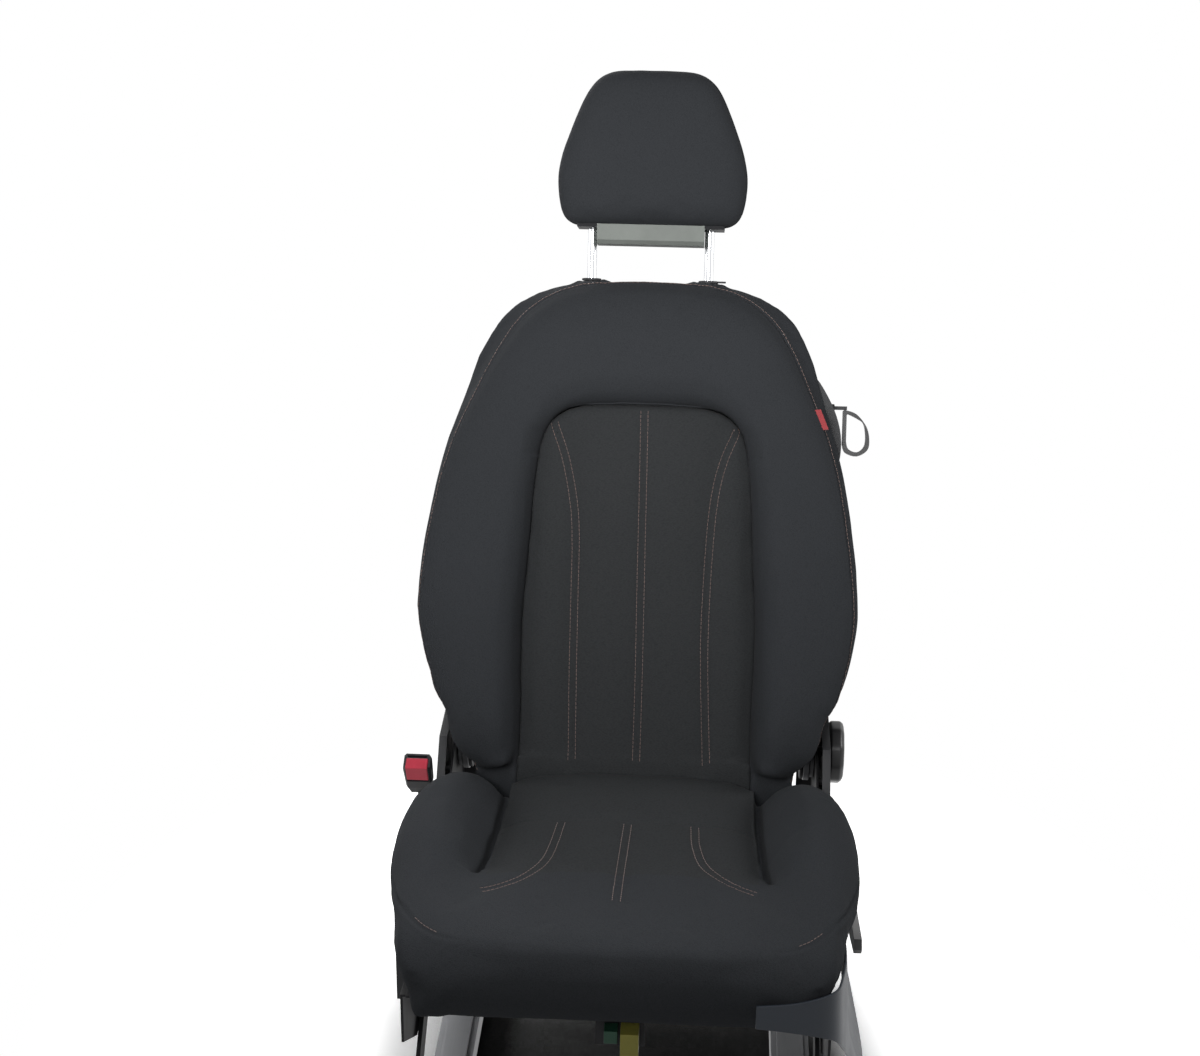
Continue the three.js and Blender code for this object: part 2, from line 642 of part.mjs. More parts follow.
for (const [side, sign] of Object.entries(SIDES)) {
  add(`recliner_gear_${side}`, reclinerGear(sign), 'zinc');
  add(`fold_arm_${side}`, foldArm(sign), 'steel', back);
}

const SHAFT_END = WHEEL_X + WHEEL_DEPTH - 6;
add('recliner_cross_shaft', rodX(-(MEMBER_X + MEMBER_PLATE + 1), SHAFT_END, RECLINER.y, RECLINER.z,
  SHAFT_RADIUS, 18), 'steel');

function handwheel() {
  const ring = (x, size) => Array.from({ length: 60 }, (_, i) => {
    const angle = 2 * Math.PI * i / 60;
    const scallop = WHEEL_LOBE_DEPTH * (1 - Math.cos(WHEEL_LOBES * angle)) / 2;
    const radius = size - scallop * size / WHEEL_RADIUS;
    return new THREE.Vector3(x, RECLINER.y + radius * Math.cos(angle),
      RECLINER.z + radius * Math.sin(angle));
  });
  const outer = WHEEL_X + WHEEL_DEPTH;
  const body = loft([
    ring(WHEEL_X, WHEEL_RADIUS - 3), ring(WHEEL_X + 3, WHEEL_RADIUS), ring(outer - 5, WHEEL_RADIUS),
    ring(outer - 1.5, WHEEL_RADIUS - 3), ring(outer, WHEEL_RADIUS - 7),
  ]);
  return cut(body, rodX(WHEEL_X - 1, SHAFT_END + GAP, RECLINER.y, RECLINER.z, SHAFT_BORE));
}
add('recline_handwheel', handwheel(), 'gloss');

// ---- Side covers -------------------------------------------------------------------------------

const ANCHOR = { y: 120, z: 190, radius: 9 };

// A moulded tray: a face with a rim that stands in towards the side member
function tray(outline, sign) {
  const [near, far] = [sign * COVER_X, sign * (COVER_X + COVER_DEPTH)];
  const hollow = plateX(inset(outline, COVER_WALL), near - sign, far - sign * COVER_WALL);
  return cut(plateX(outline, near, far), hollow);
}

// A moulded post from a cover's face to the side member
const standoff = (sign, y, z) =>
  rodX(sign * (MEMBER_X + MEMBER_PLATE + GAP), sign * (COVER_X + COVER_DEPTH - 1), y, z, 5, 12);

function reclinerOutline() {
  const tip = onBack(12, 98);
  return [...circle(RECLINER.y, RECLINER.z, COVER_RADIUS, 14, -60, 95),
    tip, [tip[0] - 42, tip[1] - 46], [tip[0] - 58, tip[1] - 84], [tip[0] - 14, tip[1] - 118]];
}

function outboardCover() {
  const bore = rodX(COVER_X, WHEEL_X, RECLINER.y, RECLINER.z, SHAFT_BORE);
  return cut(join(tray(reclinerOutline(), 1), standoff(1, RECLINER.y - 60, RECLINER.z - 10),
    standoff(1, RECLINER.y, RECLINER.z - 50)), bore);
}
add('recliner_cover_outboard', outboardCover(), 'plastic');

function inboardCover() {
  const tip = onBack(12, 98);
  const low = (y) => cushionHeight(y, -CUSHION_SIDE_DEPTH) - 12;
  const front = MEMBER_FRONT + 60;
  const outline = [
    ...circle(RECLINER.y, RECLINER.z, COVER_RADIUS, 14, -30, 95),
    tip, [tip[0] - 42, tip[1] - 46], [MEMBER_STEP, low(MEMBER_STEP)], [front, low(front)],
    [front, low(front) - 58], [MEMBER_STEP, 196], [REAR_TUBE.y, 152], [ANCHOR.y + 30, 162],
  ];
  const hole = rodX(-COVER_X, -(COVER_X + COVER_DEPTH + 1), ANCHOR.y, ANCHOR.z, ANCHOR.radius + GAP);
  return cut(join(tray(outline, -1), standoff(-1, MEMBER_STEP, 222), standoff(-1, front + 30, 232),
    standoff(-1, RECLINER.y - 60, RECLINER.z - 10)), hole);
}
add('inboard_side_cover', inboardCover(), 'plastic');

// The outboard valance is a panel that stands off the frame, flares out low down beside the
// driver's leg and sweeps round under the cushion's front corner. Each station gives how far it is
// outside the covers' inner face, its y, its direction and the heights and outward reach of four
// points down the panel.
const VALANCE_WALL = 3;
const VALANCE_STATIONS = [
  { x: 13.7, y: 78, turn: 0, rows: [[0, 262], [3, 240], [6, 215], [7, 190]] },
  { x: 16.7, y: 20, turn: 0, rows: [[0, 280], [4, 230], [8, 175], [12, 130]] },
  { x: 17.7, y: -60, turn: 0, rows: [[0, 264], [4, 210], [14, 130], [30, 72]] },
  { x: 18.7, y: -150, turn: 0, rows: [[0, 273], [4, 210], [18, 115], [39, 46]] },
  { x: 17.7, y: -230, turn: 0, rows: [[0, 282], [4, 225], [14, 140], [30, 80]] },
  { x: 13.7, y: -310, turn: 12, rows: [[0, 293], [3, 258], [6, 208], [10, 158]] },
  { x: 8.7, y: -382, turn: 25, rows: [[0, 301], [2, 276], [4, 248], [6, 220]] },
  { x: -2.3, y: -425, turn: 50, rows: [[0, 306], [1, 292], [2, 278], [3, 262]] },
  { x: -38.3, y: -440, turn: 76, rows: [[0, 308], [0.5, 299], [1, 289], [1.5, 279]] },
  { x: -84.3, y: -442, turn: 85, rows: [[0, 308], [0.5, 301], [1, 293], [1.5, 285]] },
];

function valance() {
  const ring = ({ x, y, turn, rows }) => {
    const out = new THREE.Vector3(Math.cos(rad(turn)), -Math.sin(rad(turn)), 0);
    const at = (reach, z) => new THREE.Vector3(COVER_X + x, y, z).addScaledVector(out, reach);
    const outer = rows.map(([reach, z]) => at(reach, z));
    const inner = rows.map(([reach, z]) => at(reach - VALANCE_WALL, z)).reverse();
    return [...outer, ...inner];
  };
  const panel = loft(VALANCE_STATIONS.map(ring));
  const post = (y, z) => rodX(MEMBER_X + MEMBER_PLATE + GAP, COVER_X + 20.5, y, z, 6, 12);
  const bore = rodX(MEMBER_X + 10, LEVER_X + 5, PUMP.y, PUMP.z, PUMP.shaft + 4);
  return cut(join(panel, post(-200, 225), post(-10, 215)), bore);
}
add('outboard_valance', valance(), 'valance');

// ---- Belt buckle -------------------------------------------------------------------------------

const BUCKLE = { x: -(COVER_X + 41.7), y: 98.5, z: 249, width: 36, depth: 24, length: 60, lean: 27 };
const STALK = { near: -(COVER_X + COVER_DEPTH + 2), plate: 6 };
const BUTTON = { width: 28, front: -12.6, rear: 3.5, height: 27, proud: 1.5, travel: 4 };
const SLOT = { width: 25, depth: 3.4, length: 22 };

const buckle = new THREE.Group();
buckle.position.set(BUCKLE.x, BUCKLE.y, BUCKLE.z);
buckle.rotation.x = rad(BUCKLE.lean);
seat.add(buckle);

function anchorBolt() {
  const shank = rodX(-(MEMBER_X + MEMBER_PLATE + GAP), STALK.near - STALK.plate - 1, ANCHOR.y,
    ANCHOR.z, ANCHOR.radius - 2);
  const headFace = STALK.near - STALK.plate - GAP;
  return join(shank, rodX(headFace, headFace - 6, ANCHOR.y, ANCHOR.z, ANCHOR.radius + 3, 6));
}
add('buckle_anchor_bolt', anchorBolt(), 'zinc');

function buckleStalk() {
  const [thick, wide] = [STALK.plate / 2, 12];
  const middle = STALK.near - thick;
  const lean = rad(BUCKLE.lean);
  const section = (x, y, z) => [[-1, -1], [1, -1], [1, 1], [-1, 1]].map(([a, b]) =>
    new THREE.Vector3(x + a * thick, y + b * wide * Math.cos(lean), z + b * wide * Math.sin(lean)));
  const bar = loft([section(middle, 126, 177), section(middle, 114, 206),
    section(BUCKLE.x, BUCKLE.y + 4, BUCKLE.z - 10), section(BUCKLE.x, BUCKLE.y + 0.2, BUCKLE.z - 0.4)]);
  return cut(bar, rodX(-COVER_X, BUCKLE.x, ANCHOR.y, ANCHOR.z, ANCHOR.radius - 2 + GAP));
}
add('buckle_stalk', buckleStalk(), 'plastic');

function buckleBody() {
  const [w, d, h] = [BUCKLE.width / 2, BUCKLE.depth / 2, BUCKLE.length];
  const ring = (z, sx, sy) => [[-1, -0.7], [-0.85, -1], [0.85, -1], [1, -0.7], [1, 0.7], [0.85, 1],
    [-0.85, 1], [-1, 0.7]].map(([a, b]) => new THREE.Vector3(a * w * sx, b * d * sy, z));
  const body = loft([ring(0, 0.72, 0.72), ring(14, 0.94, 0.9), ring(h - 6, 1, 1), ring(h, 0.95, 0.92)]);
  const pocket = box(-BUTTON.width / 2 - GAP, BUTTON.width / 2 + GAP, BUTTON.front - 1,
    BUTTON.rear + GAP, h - (BUTTON.height + BUTTON.travel), h + 1);
  const slot = box(-SLOT.width / 2, SLOT.width / 2, 5, 5 + SLOT.depth, h - SLOT.length, h + 1);
  return cut(body, pocket, slot);
}
add('buckle_body', buckleBody(), 'plastic', buckle);
add('buckle_button', box(-BUTTON.width / 2, BUTTON.width / 2, BUTTON.front, BUTTON.rear,
  BUCKLE.length + BUTTON.proud - BUTTON.height, BUCKLE.length + BUTTON.proud), 'red', buckle);

// ---- Cushion pads ------------------------------------------------------------------------------

// Rows down the cushion: how far along, the crease, the outer edge and the bolster's crest
const CUSHION_ROWS = [
  [-0.02, 1, 0.66, 0.1], [0.06, 1, 0.78, 0.35], [0.16, 1, 0.92, 0.78], [0.27, 1, 0.98, 0.98],
  [0.36, 1.01, 1, 1], [0.45, 1.02, 1, 0.97], [0.55, 1.05, 0.99, 0.8], [0.66, 1.1, 0.955, 0.5],
  [0.78, 1.16, 0.92, 0.2], [0.89, 1.2, 0.885, -0.1], [0.95, 1.2, 0.86, -0.35], [0.985, 1.2, 0.83, -0.8],
].map(([along, crease, outer, crest]) => [
  along * CUSHION_LENGTH, crease * CREASE_HALF_WIDTH, outer * CUSHION_HALF_WIDTH,
  crest * CUSHION_CREST,
]);
// The front of the cushion rolls over and under
const frontRoll = (along) => {
  const start = CUSHION_LENGTH - 40;
  const t = Math.max(0, (along - start) / 40);
  return { drop: 34 * (1 - Math.sqrt(Math.max(0, 1 - t * t))), rise: 46 * t ** 3, tuck: 30 * t * t };
};
// How deep the crease beside the centre is, which runs out before the front edge
const hollow = (along) =>
  3 + 14 * THREE.MathUtils.clamp((CUSHION_LENGTH - 136 - along) / 70, 0, 1);
// How far down the side reaches: the rear end stays above the recliner covers
const sideDepth = (along) => THREE.MathUtils.clamp(
  12 + (CUSHION_SIDE_DEPTH - 12) * (along - 25) / (MEMBER_STEP_ALONG - 25), 12, CUSHION_SIDE_DEPTH);
const channel = (distance) => {
  const t = Math.min(1, Math.abs(distance) / CHANNEL_WIDTH);
  return CHANNEL_DEPTH * (1 - t * t) ** 2;
};

const stitchLine = (along) => STITCH_OFFSET + 60 * Math.max(0, along / CUSHION_LENGTH - 0.55) ** 1.5;

function seatCentrePad() {
  const ring = (t) => {
    const [along, crease] = smooth(CUSHION_ROWS, t);
    const { drop, rise } = frontRoll(along);
    const half = crease - GAP;
    const top = steps(24).map((u) => {
      const x = half * (1 - 2 * u);
      const edge = Math.abs(x) / half;
      const lines = Math.max(channel(x), channel(Math.abs(x) - stitchLine(along)));
      const sewn = along < CROSS_SEAM ? 0 : lines;
      const height = 3 * (1 - edge * edge) - hollow(along) * edge ** 8
        - channel(along - CROSS_SEAM) - sewn;
      return new THREE.Vector3(x, -along, height - drop);
    });
    const low = -CUSHION_DEPTH + rise;
    return [...top, new THREE.Vector3(-half, -along, low), new THREE.Vector3(half, -along, low)];
  };
  const pad = loft(steps(26).map(ring));
  return cut(pad, jointRelief());
}

// Room around the recliner axis for the lower end of the backrest, in the cushion frame
function jointRelief() {
  const reach = Math.hypot(MEETING_UP, BACK_FACE) + 6;
  const along = (RECLINER.y - MEETING[0]) * SEAT_COS - (RECLINER.z - MEETING[1]) * SEAT_SIN;
  const above = (RECLINER.y - MEETING[0]) * SEAT_SIN + (RECLINER.z - MEETING[1]) * SEAT_COS;
  return rodX(-CUSHION_HALF_WIDTH, CUSHION_HALF_WIDTH, along, above, reach, 72);
}

// The lower end of a back bolster in the cushion frame, upright and at each stage of the fold
function backrestSweep(sign) {
  const rings = [0, 1, 2, 3, 4, 5, 6].map((i) => horseshoeSection(SHOULDER_START * i / BOLSTER_RINGS))
    .map(({ points }) => points.map(({ at, out }) =>
      new THREE.Vector3(sign * Math.min(at.x, COVER_X + 8), -out - 1.5, at.y - 0.5)));
  const turn = (angle) => new THREE.Matrix4().makeRotationX(rad(angle));
  const shift = (y, z) => new THREE.Matrix4().makeTranslation(0, y, z);
  const toCushion = turn(CUSHION_ANGLE)
    .multiply(shift(RECLINER.y - MEETING[0], RECLINER.z - MEETING[1]))
    .multiply(turn(UPRIGHT_LIMIT + 1.6 - BACK_ANGLE))
    .multiply(shift(-FOLD_PIVOT.out, FOLD_PIVOT.up));
  return [0, 3, 6, 10, 17, 25, FOLD_LIMIT].map((fold) => loft(rings).applyMatrix4(toCushion.clone()
    .multiply(turn(fold)).multiply(shift(FOLD_PIVOT.out, -FOLD_PIVOT.up))));
}

function seatBolster(sign) {
  const ring = (t) => {
    const [along, crease, outer, crest] = smooth(CUSHION_ROWS, t);
    const { drop, rise, tuck } = frontRoll(along);
    const [inner, width, deep] = [crease, outer - crease, hollow(along)];
    const low = -CUSHION_DEPTH + rise;
    const side = sideDepth(along) - rise;
    const shoulder = Math.min(outer - 10, MEMBER_X - 8);
    const points = [
      [inner, low], [inner, -deep - 1], [inner + 0.08 * width, -0.45 * deep + 0.3 * crest],
      [inner + 0.25 * width, 0.78 * crest], [inner + 0.48 * width, crest],
      [inner + 0.7 * width, 0.93 * crest - 1], [inner + 0.88 * width, 0.7 * crest - 0.08 * side],
      [outer - 3, crest * 0.4 - 0.27 * side], [outer, -0.57 * side + 0.2 * crest],
      [outer - 2 - 0.1 * tuck, -0.86 * side], [outer - 8 - 0.3 * tuck, -side],
      [shoulder + 1 - 0.4 * tuck, -side - 0.5], [shoulder - tuck, low],
    ];
    const fall = (h) => drop * Math.min(1, (h + CUSHION_DEPTH) / 50);
    return points.map(([x, h]) => new THREE.Vector3(sign * x, -along, h - fall(h)));
  };
  return cut(loft(steps(24).map(ring)), jointRelief(), ...backrestSweep(sign));
}

// ---- Backrest frame ----------------------------------------------------------------------------

// Rows round the horseshoe from the foot of a bolster to the top centre: the insert's edge, the
// front seam and the widest outline, each as [x, up] shares of the backrest, then the crest's share
const BACK_ROWS = [
  [[1, -0.04], [0.7, -0.045], [0.705, -0.045], 0.42],
  [[1, 0.0], [0.82, 0.0], [0.825, 0.0], 0.66],
  [[1, 0.06], [0.865, 0.05], [0.875, 0.05], 0.88],
  [[1, 0.13], [0.93, 0.12], [0.95, 0.12], 1],
  [[1.01, 0.25], [0.968, 0.25], [1, 0.25], 1],
  [[1.01, 0.39], [0.955, 0.375], [0.99, 0.375], 0.98],
  [[0.98, 0.53], [0.925, 0.475], [0.96, 0.475], 0.9],
  [[0.95, 0.7], [0.886, 0.575], [0.92, 0.575], 0.72],
  [[0.92, 0.81], [0.834, 0.668], [0.87, 0.668], 0.5],
  [[0.87, 0.9], [0.764, 0.751], [0.812, 0.76], 0.3],
  [[0.78, 0.955], [0.668, 0.851], [0.742, 0.872], 0.12],
  [[0.64, 0.985], [0.57, 0.918], [0.65, 0.938], 0.05],
  [[0.46, 0.997], [0.41, 0.968], [0.44, 0.986], 0.02],
  [[0.23, 1], [0.215, 0.987], [0.22, 0.998], 0],
  [[0, 1], [0, 0.991], [0, 1], 0],
].map(([insert, seam, outline, crest]) => [
  insert[0] * INSERT_HALF_WIDTH, insert[1] * INSERT_TOP,
  seam[0] * BACK_HALF_WIDTH, seam[1] * BACK_HEIGHT,
  outline[0] * BACK_HALF_WIDTH, outline[1] * BACK_HEIGHT,
  SHOULDER_CREST + crest * (BOLSTER_CREST - SHOULDER_CREST),
]);

// A cut across the horseshoe: points from the insert's edge over the crest and round to the rear
function horseshoeSection(t) {
  const [ix, iz, sx, sz, ox, oz, crest] = smooth(BACK_ROWS, t);
  const insert = new THREE.Vector2(ix, iz);
  const seam = new THREE.Vector2(sx, sz);
  const outline = new THREE.Vector2(ox, oz);
  const across = seam.clone().sub(insert);
  const inward = insert.clone().sub(outline).normalize();
  const groove = BACK_FACE - 7;
  const roll = 16 * (BOLSTER_CREST - crest) / (BOLSTER_CREST - SHOULDER_CREST);
  const place = (share, out) => ({ at: insert.clone().addScaledVector(across, share), out });
  const edge = (distance, out) => ({ at: outline.clone().addScaledVector(inward, distance), out });
  return {
    crest,
    seam: { at: seam, out: crest - 24 - roll },
    outline: { at: outline, out: 48 },
    points: [
      place(0, PAD_BACK), place(0, groove), place(0.07, groove + 0.45 * (crest - groove)),
      place(0.2, groove + 0.85 * (crest - groove)), place(0.38, crest - 1), place(0.58, crest),
      place(0.78, crest - 4 - 0.2 * roll), place(0.92, crest - 12 - 0.55 * roll),
      place(1, crest - 24 - roll), edge(0, 48),
      edge(3, -8), edge(8, -BACK_REAR), edge(GUSSET_WALL, -BACK_REAR), edge(GUSSET_WALL, PAD_BACK),
    ],
  };
}

const SHOULDER_START = 0.585;
const BOLSTER_RINGS = 22;

add('seat_centre_pad', seatCentrePad(), 'insert', cushion);
for (const [side, sign] of Object.entries(SIDES)) {
  add(`seat_bolster_${side}`, seatBolster(sign), 'cloth', cushion);
}

const onFrame = ({ at, out }, sign) => new THREE.Vector3(sign * at.x, -out, at.y);
const OUTLINE = steps(60).map((t) => smooth(BACK_ROWS, t).slice(4, 6));

// The half-width of the widest outline at a height up the backrest
function outlineAt(up) {
  const i = Math.max(1, OUTLINE.findIndex(([, z]) => z >= up));
  const [[xa, za], [xb, zb]] = [OUTLINE[i - 1], OUTLINE[i]];
  return xa + (xb - xa) * (up - za) / (zb - za);
}

// The side member's path: straight beside the recliner, then leaning in under the shoulder
const frameX = (up) =>
  Math.min(FRAME_HALF_WIDTH, outlineAt(Math.max(up, BACK_HEIGHT / 3)) - GUSSET_WALL - 13);
const MEMBER_TOP = TOP_TUBE_UP + TOP_TUBE_RADIUS;
const MEMBER_STOPS = [-20, MEMBER_TOP - 229, MEMBER_TOP - 159, MEMBER_TOP - 89, MEMBER_TOP - 39,
  MEMBER_TOP];

// The member's outer face between its stops, which straight stretches join
function memberX(up) {
  const i = Math.max(1, MEMBER_STOPS.findIndex((stop) => stop >= up));
  const [a, b] = [MEMBER_STOPS[i - 1], MEMBER_STOPS[i]];
  return frameX(a) + (frameX(b) - frameX(a)) * (up - a) / (b - a);
}

function backMember(sign) {
  const edge = (shift) => MEMBER_STOPS.map((up) => [sign * (memberX(up) + shift), up]);
  const strip = (from, to) => [...edge(to), ...edge(from).reverse()];
  const web = plateY(strip(0, FRAME_PLATE), -FRAME_FRONT, BACK_REAR - 4);
  const front = plateY(strip(-FRAME_FLANGE, FRAME_PLATE), -FRAME_FRONT, -FRAME_FRONT + FRAME_PLATE);
  const rear = plateY(strip(-FRAME_FLANGE, FRAME_PLATE), BACK_REAR - 4 - FRAME_PLATE, BACK_REAR - 4);
  const lobe = plateX([
    [24, -34], [-20, -44], [-38, 0], [-FOLD_PIVOT.out - 14, 38], [-FOLD_PIVOT.out - 17, 62],
    [-FOLD_PIVOT.out + 2, 80], [-FRAME_FRONT + 4, 110], [20, 110],
  ], sign * FRAME_HALF_WIDTH, sign * (FRAME_HALF_WIDTH + FRAME_PLATE));
  const armFace = FOLD_ARM_X + FOLD_ARM_PLATE;
  const pin = rodX(sign * (FRAME_HALF_WIDTH + 1), sign * (armFace + GAP + 1), -FOLD_PIVOT.out,
    FOLD_PIVOT.up, FOLD_PIVOT.radius);
  const pinHead = rodX(sign * (armFace + GAP), sign * (armFace + GAP + 2), -FOLD_PIVOT.out,
    FOLD_PIVOT.up, FOLD_PIVOT.radius + 4);
  return cut(join(web, front, rear, lobe, pin, pinHead), shaftSweep());
}

// Where the cross shaft passes in the back frame while the backrest folds, and all below that arc
function shaftSweep() {
  const swing = Math.hypot(FOLD_PIVOT.out, FOLD_PIVOT.up);
  const start = Math.atan2(-FOLD_PIVOT.up, FOLD_PIVOT.out) / rad(1);
  const [first, last] = [start + 8, start - FOLD_LIMIT - 8];
  const [near, far] = [swing - SHAFT_RADIUS - 2, swing + 60];
  return plateX([...circle(-FOLD_PIVOT.out, FOLD_PIVOT.up, near, 14, first, last),
    ...circle(-FOLD_PIVOT.out, FOLD_PIVOT.up, far, 14, last, first)], -FRAME_HALF_WIDTH - 9,
  FRAME_HALF_WIDTH + 9);
}

for (const [side, sign] of Object.entries(SIDES)) {
  add(`back_side_member_${side}`, backMember(sign), 'steel', back);
}

// The post sleeves stand against the top tube, so the tube's depth follows theirs
const HEAD_LEAN = rad(BACK_ANGLE - HEAD_ANGLE);
const sleeveOut = (up) => POST_EXIT.out - (POST_EXIT.up - up) * Math.tan(HEAD_LEAN);
const TOP_TUBE_OUT = sleeveOut(TOP_TUBE_UP)
  - (SLEEVE_RADIUS + TOP_TUBE_RADIUS + GAP) / Math.cos(HEAD_LEAN);
const TOP_TUBE_HALF = memberX(TOP_TUBE_UP + TOP_TUBE_RADIUS) - GAP;
add('back_top_tube', tubeX(TOP_TUBE_HALF, -TOP_TUBE_OUT, TOP_TUBE_UP, TOP_TUBE_RADIUS,
  TOP_TUBE_RADIUS - 2.5), 'steel', back);

const LOWER_PANEL = { low: 22, high: 105 };
const memberRear = BACK_REAR - 4 - FRAME_PLATE;
add('back_lower_panel', box(-FRAME_HALF_WIDTH + GAP, FRAME_HALF_WIDTH - GAP,
  memberRear - GAP - FRAME_PLATE, memberRear - GAP, LOWER_PANEL.low, LOWER_PANEL.high), 'steel', back);

function lumbarMat() {
  const y = -(FRAME_FRONT + GAP + WIRE_RADIUS);
  const [low, high, rows] = [125, INSERT_TOP - 32, 4];
  const across = steps(rows).map((u) => low + u * (high - low))
    .map((z) => rodX(-memberX(z) + 4, memberX(z) - 4, y, z, WIRE_RADIUS, 6));
  const upright = (x) => rod(new THREE.Vector3(x, y, low), new THREE.Vector3(x, y, high),
    WIRE_RADIUS - 0.2, 6);
  return join(across[0], ...across.slice(1), ...[-120, -40, 40, 120].map(upright));
}
add('lumbar_mat', lumbarMat(), 'zinc', back);

const AIRBAG = { low: 185, high: 320, depth: 46, width: 13 };
add('side_airbag_module', box(FRAME_HALF_WIDTH + FRAME_PLATE + GAP,
  FRAME_HALF_WIDTH + FRAME_PLATE + GAP + AIRBAG.width, -AIRBAG.depth / 2, AIRBAG.depth / 2,
  AIRBAG.low, AIRBAG.high), 'carpet', back);

// ---- Backrest pads and rear panel --------------------------------------------------------------

const FLARE_START = INSERT_TOP - 107; // where the outer stitch lines start to lean out

function backCentrePad() {
  const rows = BACK_ROWS.map((row) => row.slice(0, 2));
  const ring = (t) => {
    const [halfEdge, up] = smooth(rows, t);
    const half = Math.max(halfEdge - GAP, 1);
    const front = steps(24).map((u) => {
      const x = half * (1 - 2 * u);
      const edge = Math.abs(x) / half;
      const sideEdge = INSERT_HALF_WIDTH - GAP - Math.abs(x);
      const topEdge = INSERT_TOP - up;
      const fall = Math.max(8 * edge ** 14, 8 * Math.max(0, 1 - topEdge / 14) ** 2);
      const flare = 28 * (Math.max(0, up - FLARE_START) / 100) ** 2;
      const sewn = Math.max(channel(x), channel(Math.abs(x) - STITCH_OFFSET - flare));
      const near = THREE.MathUtils.clamp(Math.min(sideEdge, topEdge) / 20, 0, 1);
      const height = BACK_FACE + 2 * (1 - edge * edge) - fall - sewn * near;
      return new THREE.Vector3(x, -height, up - GAP);
    });
    return [...front, new THREE.Vector3(-half, -PAD_BACK, up - GAP),
      new THREE.Vector3(half, -PAD_BACK, up - GAP)];
  };
  const stops = [0, 0.07, 0.13, 0.19, 0.24, 0.29, 0.34, 0.39, 0.44, 0.5, 0.54, 0.58, 0.62, 0.66, 0.7,
    0.74, 0.78, 0.82, 0.86, 0.9];
  return join(cut(loft(stops.map(ring)), padRelief()), tail(-INSERT_HALF_WIDTH + GAP,
    INSERT_HALF_WIDTH - GAP));
}

// The pads' lower rear corner, which the cross shaft passes at the end of the fold
const TAIL = { rear: 66, top: -9, half: FRAME_HALF_WIDTH - 6 };
const padRelief = () => plateX([[-PAD_BACK + 1, -40], [-TAIL.rear, -40], [-TAIL.rear, TAIL.top - 2],
  [-PAD_BACK + 1, TAIL.top - 2]], -BACK_HALF_WIDTH, BACK_HALF_WIDTH);

// The pads run on down behind the cushion, round the recliner axis
function tail(xa, xb) {
  const reach = Math.hypot(MEETING_UP, BACK_FACE);
  const end = 180 + THREE.MathUtils.radToDeg(Math.acos(TAIL.rear / reach));
  const start = 180 + THREE.MathUtils.radToDeg(Math.asin(-TAIL.top / reach));
  return plateX([[-TAIL.rear, TAIL.top], ...circle(0, 0, reach - 0.4, 10, start, end)], xa, xb);
}
add('back_centre_pad', backCentrePad(), 'insert', back);

// What a bolster leaves free beside the recliner, in the back frame: the fold arm with the swing
// it makes, the frame's lobe, and everything wider than the cushion's side covers
function reclinerRelief(sign) {
  const inner = sign * (FRAME_HALF_WIDTH - 4);
  const far = sign * (BACK_HALF_WIDTH + 20);
  const frame = [[BACK_REAR + 20, -80], [-PAD_BACK, -80], [-PAD_BACK, 66], [BACK_REAR + 20, 66]];
  const swing = [[BACK_REAR + 20, -80], [-104, -80], [-104, 40], [-88, 66], [BACK_REAR + 20, 66]];
  const clearOfCovers = [[BACK_REAR + 20, -80], [-220, -80], [-220, 40], [-104, 64],
    [BACK_REAR + 20, 64]];
  const lobe = [[-20, 60], [-FOLD_PIVOT.out - 22, 60], [-FOLD_PIVOT.out - 6, 90], [-36, 122],
    [-20, 122]];
  return [plateX(frame, sign * (INSERT_HALF_WIDTH - 8), far), plateX(swing, inner, far),
    plateX(clearOfCovers, sign * (COVER_X - 1.5), far),
    plateX(lobe, sign * (FRAME_HALF_WIDTH - 3), sign * (GEAR_X + 8))];
}

function backBolster(sign) {
  const rings = steps(BOLSTER_RINGS).map((u) => horseshoeSection(u * SHOULDER_START))
    .map(({ points }) => points.map((point) => onFrame(point, sign)));
  const [xa, xb] = [sign * INSERT_HALF_WIDTH, sign * TAIL.half];
  return join(cut(loft(rings), padRelief(), ...reclinerRelief(sign)), tail(xa, xb));
}
for (const [side, sign] of Object.entries(SIDES)) {
  add(`back_bolster_${side}`, backBolster(sign), 'cloth', back);
}

const inHead = (geometry) => geometry.rotateX(HEAD_LEAN).translate(0, -POST_EXIT.out, POST_EXIT.up);

function shoulderPad() {
  const start = SHOULDER_START + 0.001;
  const half = steps(12).map((u) => start + u * (1 - start));
  const rings = [
    ...half.map((t) => horseshoeSection(t).points.map((point) => onFrame(point, -1))),
    ...half.slice(0, -1).reverse()
      .map((t) => horseshoeSection(t).points.map((point) => onFrame(point, 1))),
  ];
  const sleeve = (sign) => inHead(rod(
    new THREE.Vector3(sign * POST_SPACING / 2, 0, -SLEEVE_DEPTH - 60),
    new THREE.Vector3(sign * POST_SPACING / 2, 0, 30), SLEEVE_RADIUS + GAP, 20));
  return cut(loft(rings), sleeve(1), sleeve(-1));
}
add('back_shoulder_pad', shoulderPad(), 'cloth', back);

function rearPanel() {
  const margin = GUSSET_WALL + 1.4;
  const ts = steps(30).map((u) => 0.16 + u * 0.84);
  const side = (sign) => ts.map((t) => {
    const [ix, iz, , , ox, oz] = smooth(BACK_ROWS, t);
    const outline = new THREE.Vector2(ox, oz);
    outline.addScaledVector(new THREE.Vector2(ix, iz).sub(outline).normalize(), margin);
    return [sign * outline.x, outline.y];
  });
  const outline = [...side(1), ...side(-1).reverse().slice(1)];
  return plateY(outline, BACK_REAR - REAR_PANEL_WALL, BACK_REAR);
}
add('back_rear_panel', rearPanel(), 'carpet', back);

// A folded cloth tag sewn into the outboard seam, bare of any lettering
const TAG = { width: 14, length: 28, thickness: 1.2, lean: 42, sewn: 5, proud: 3 };

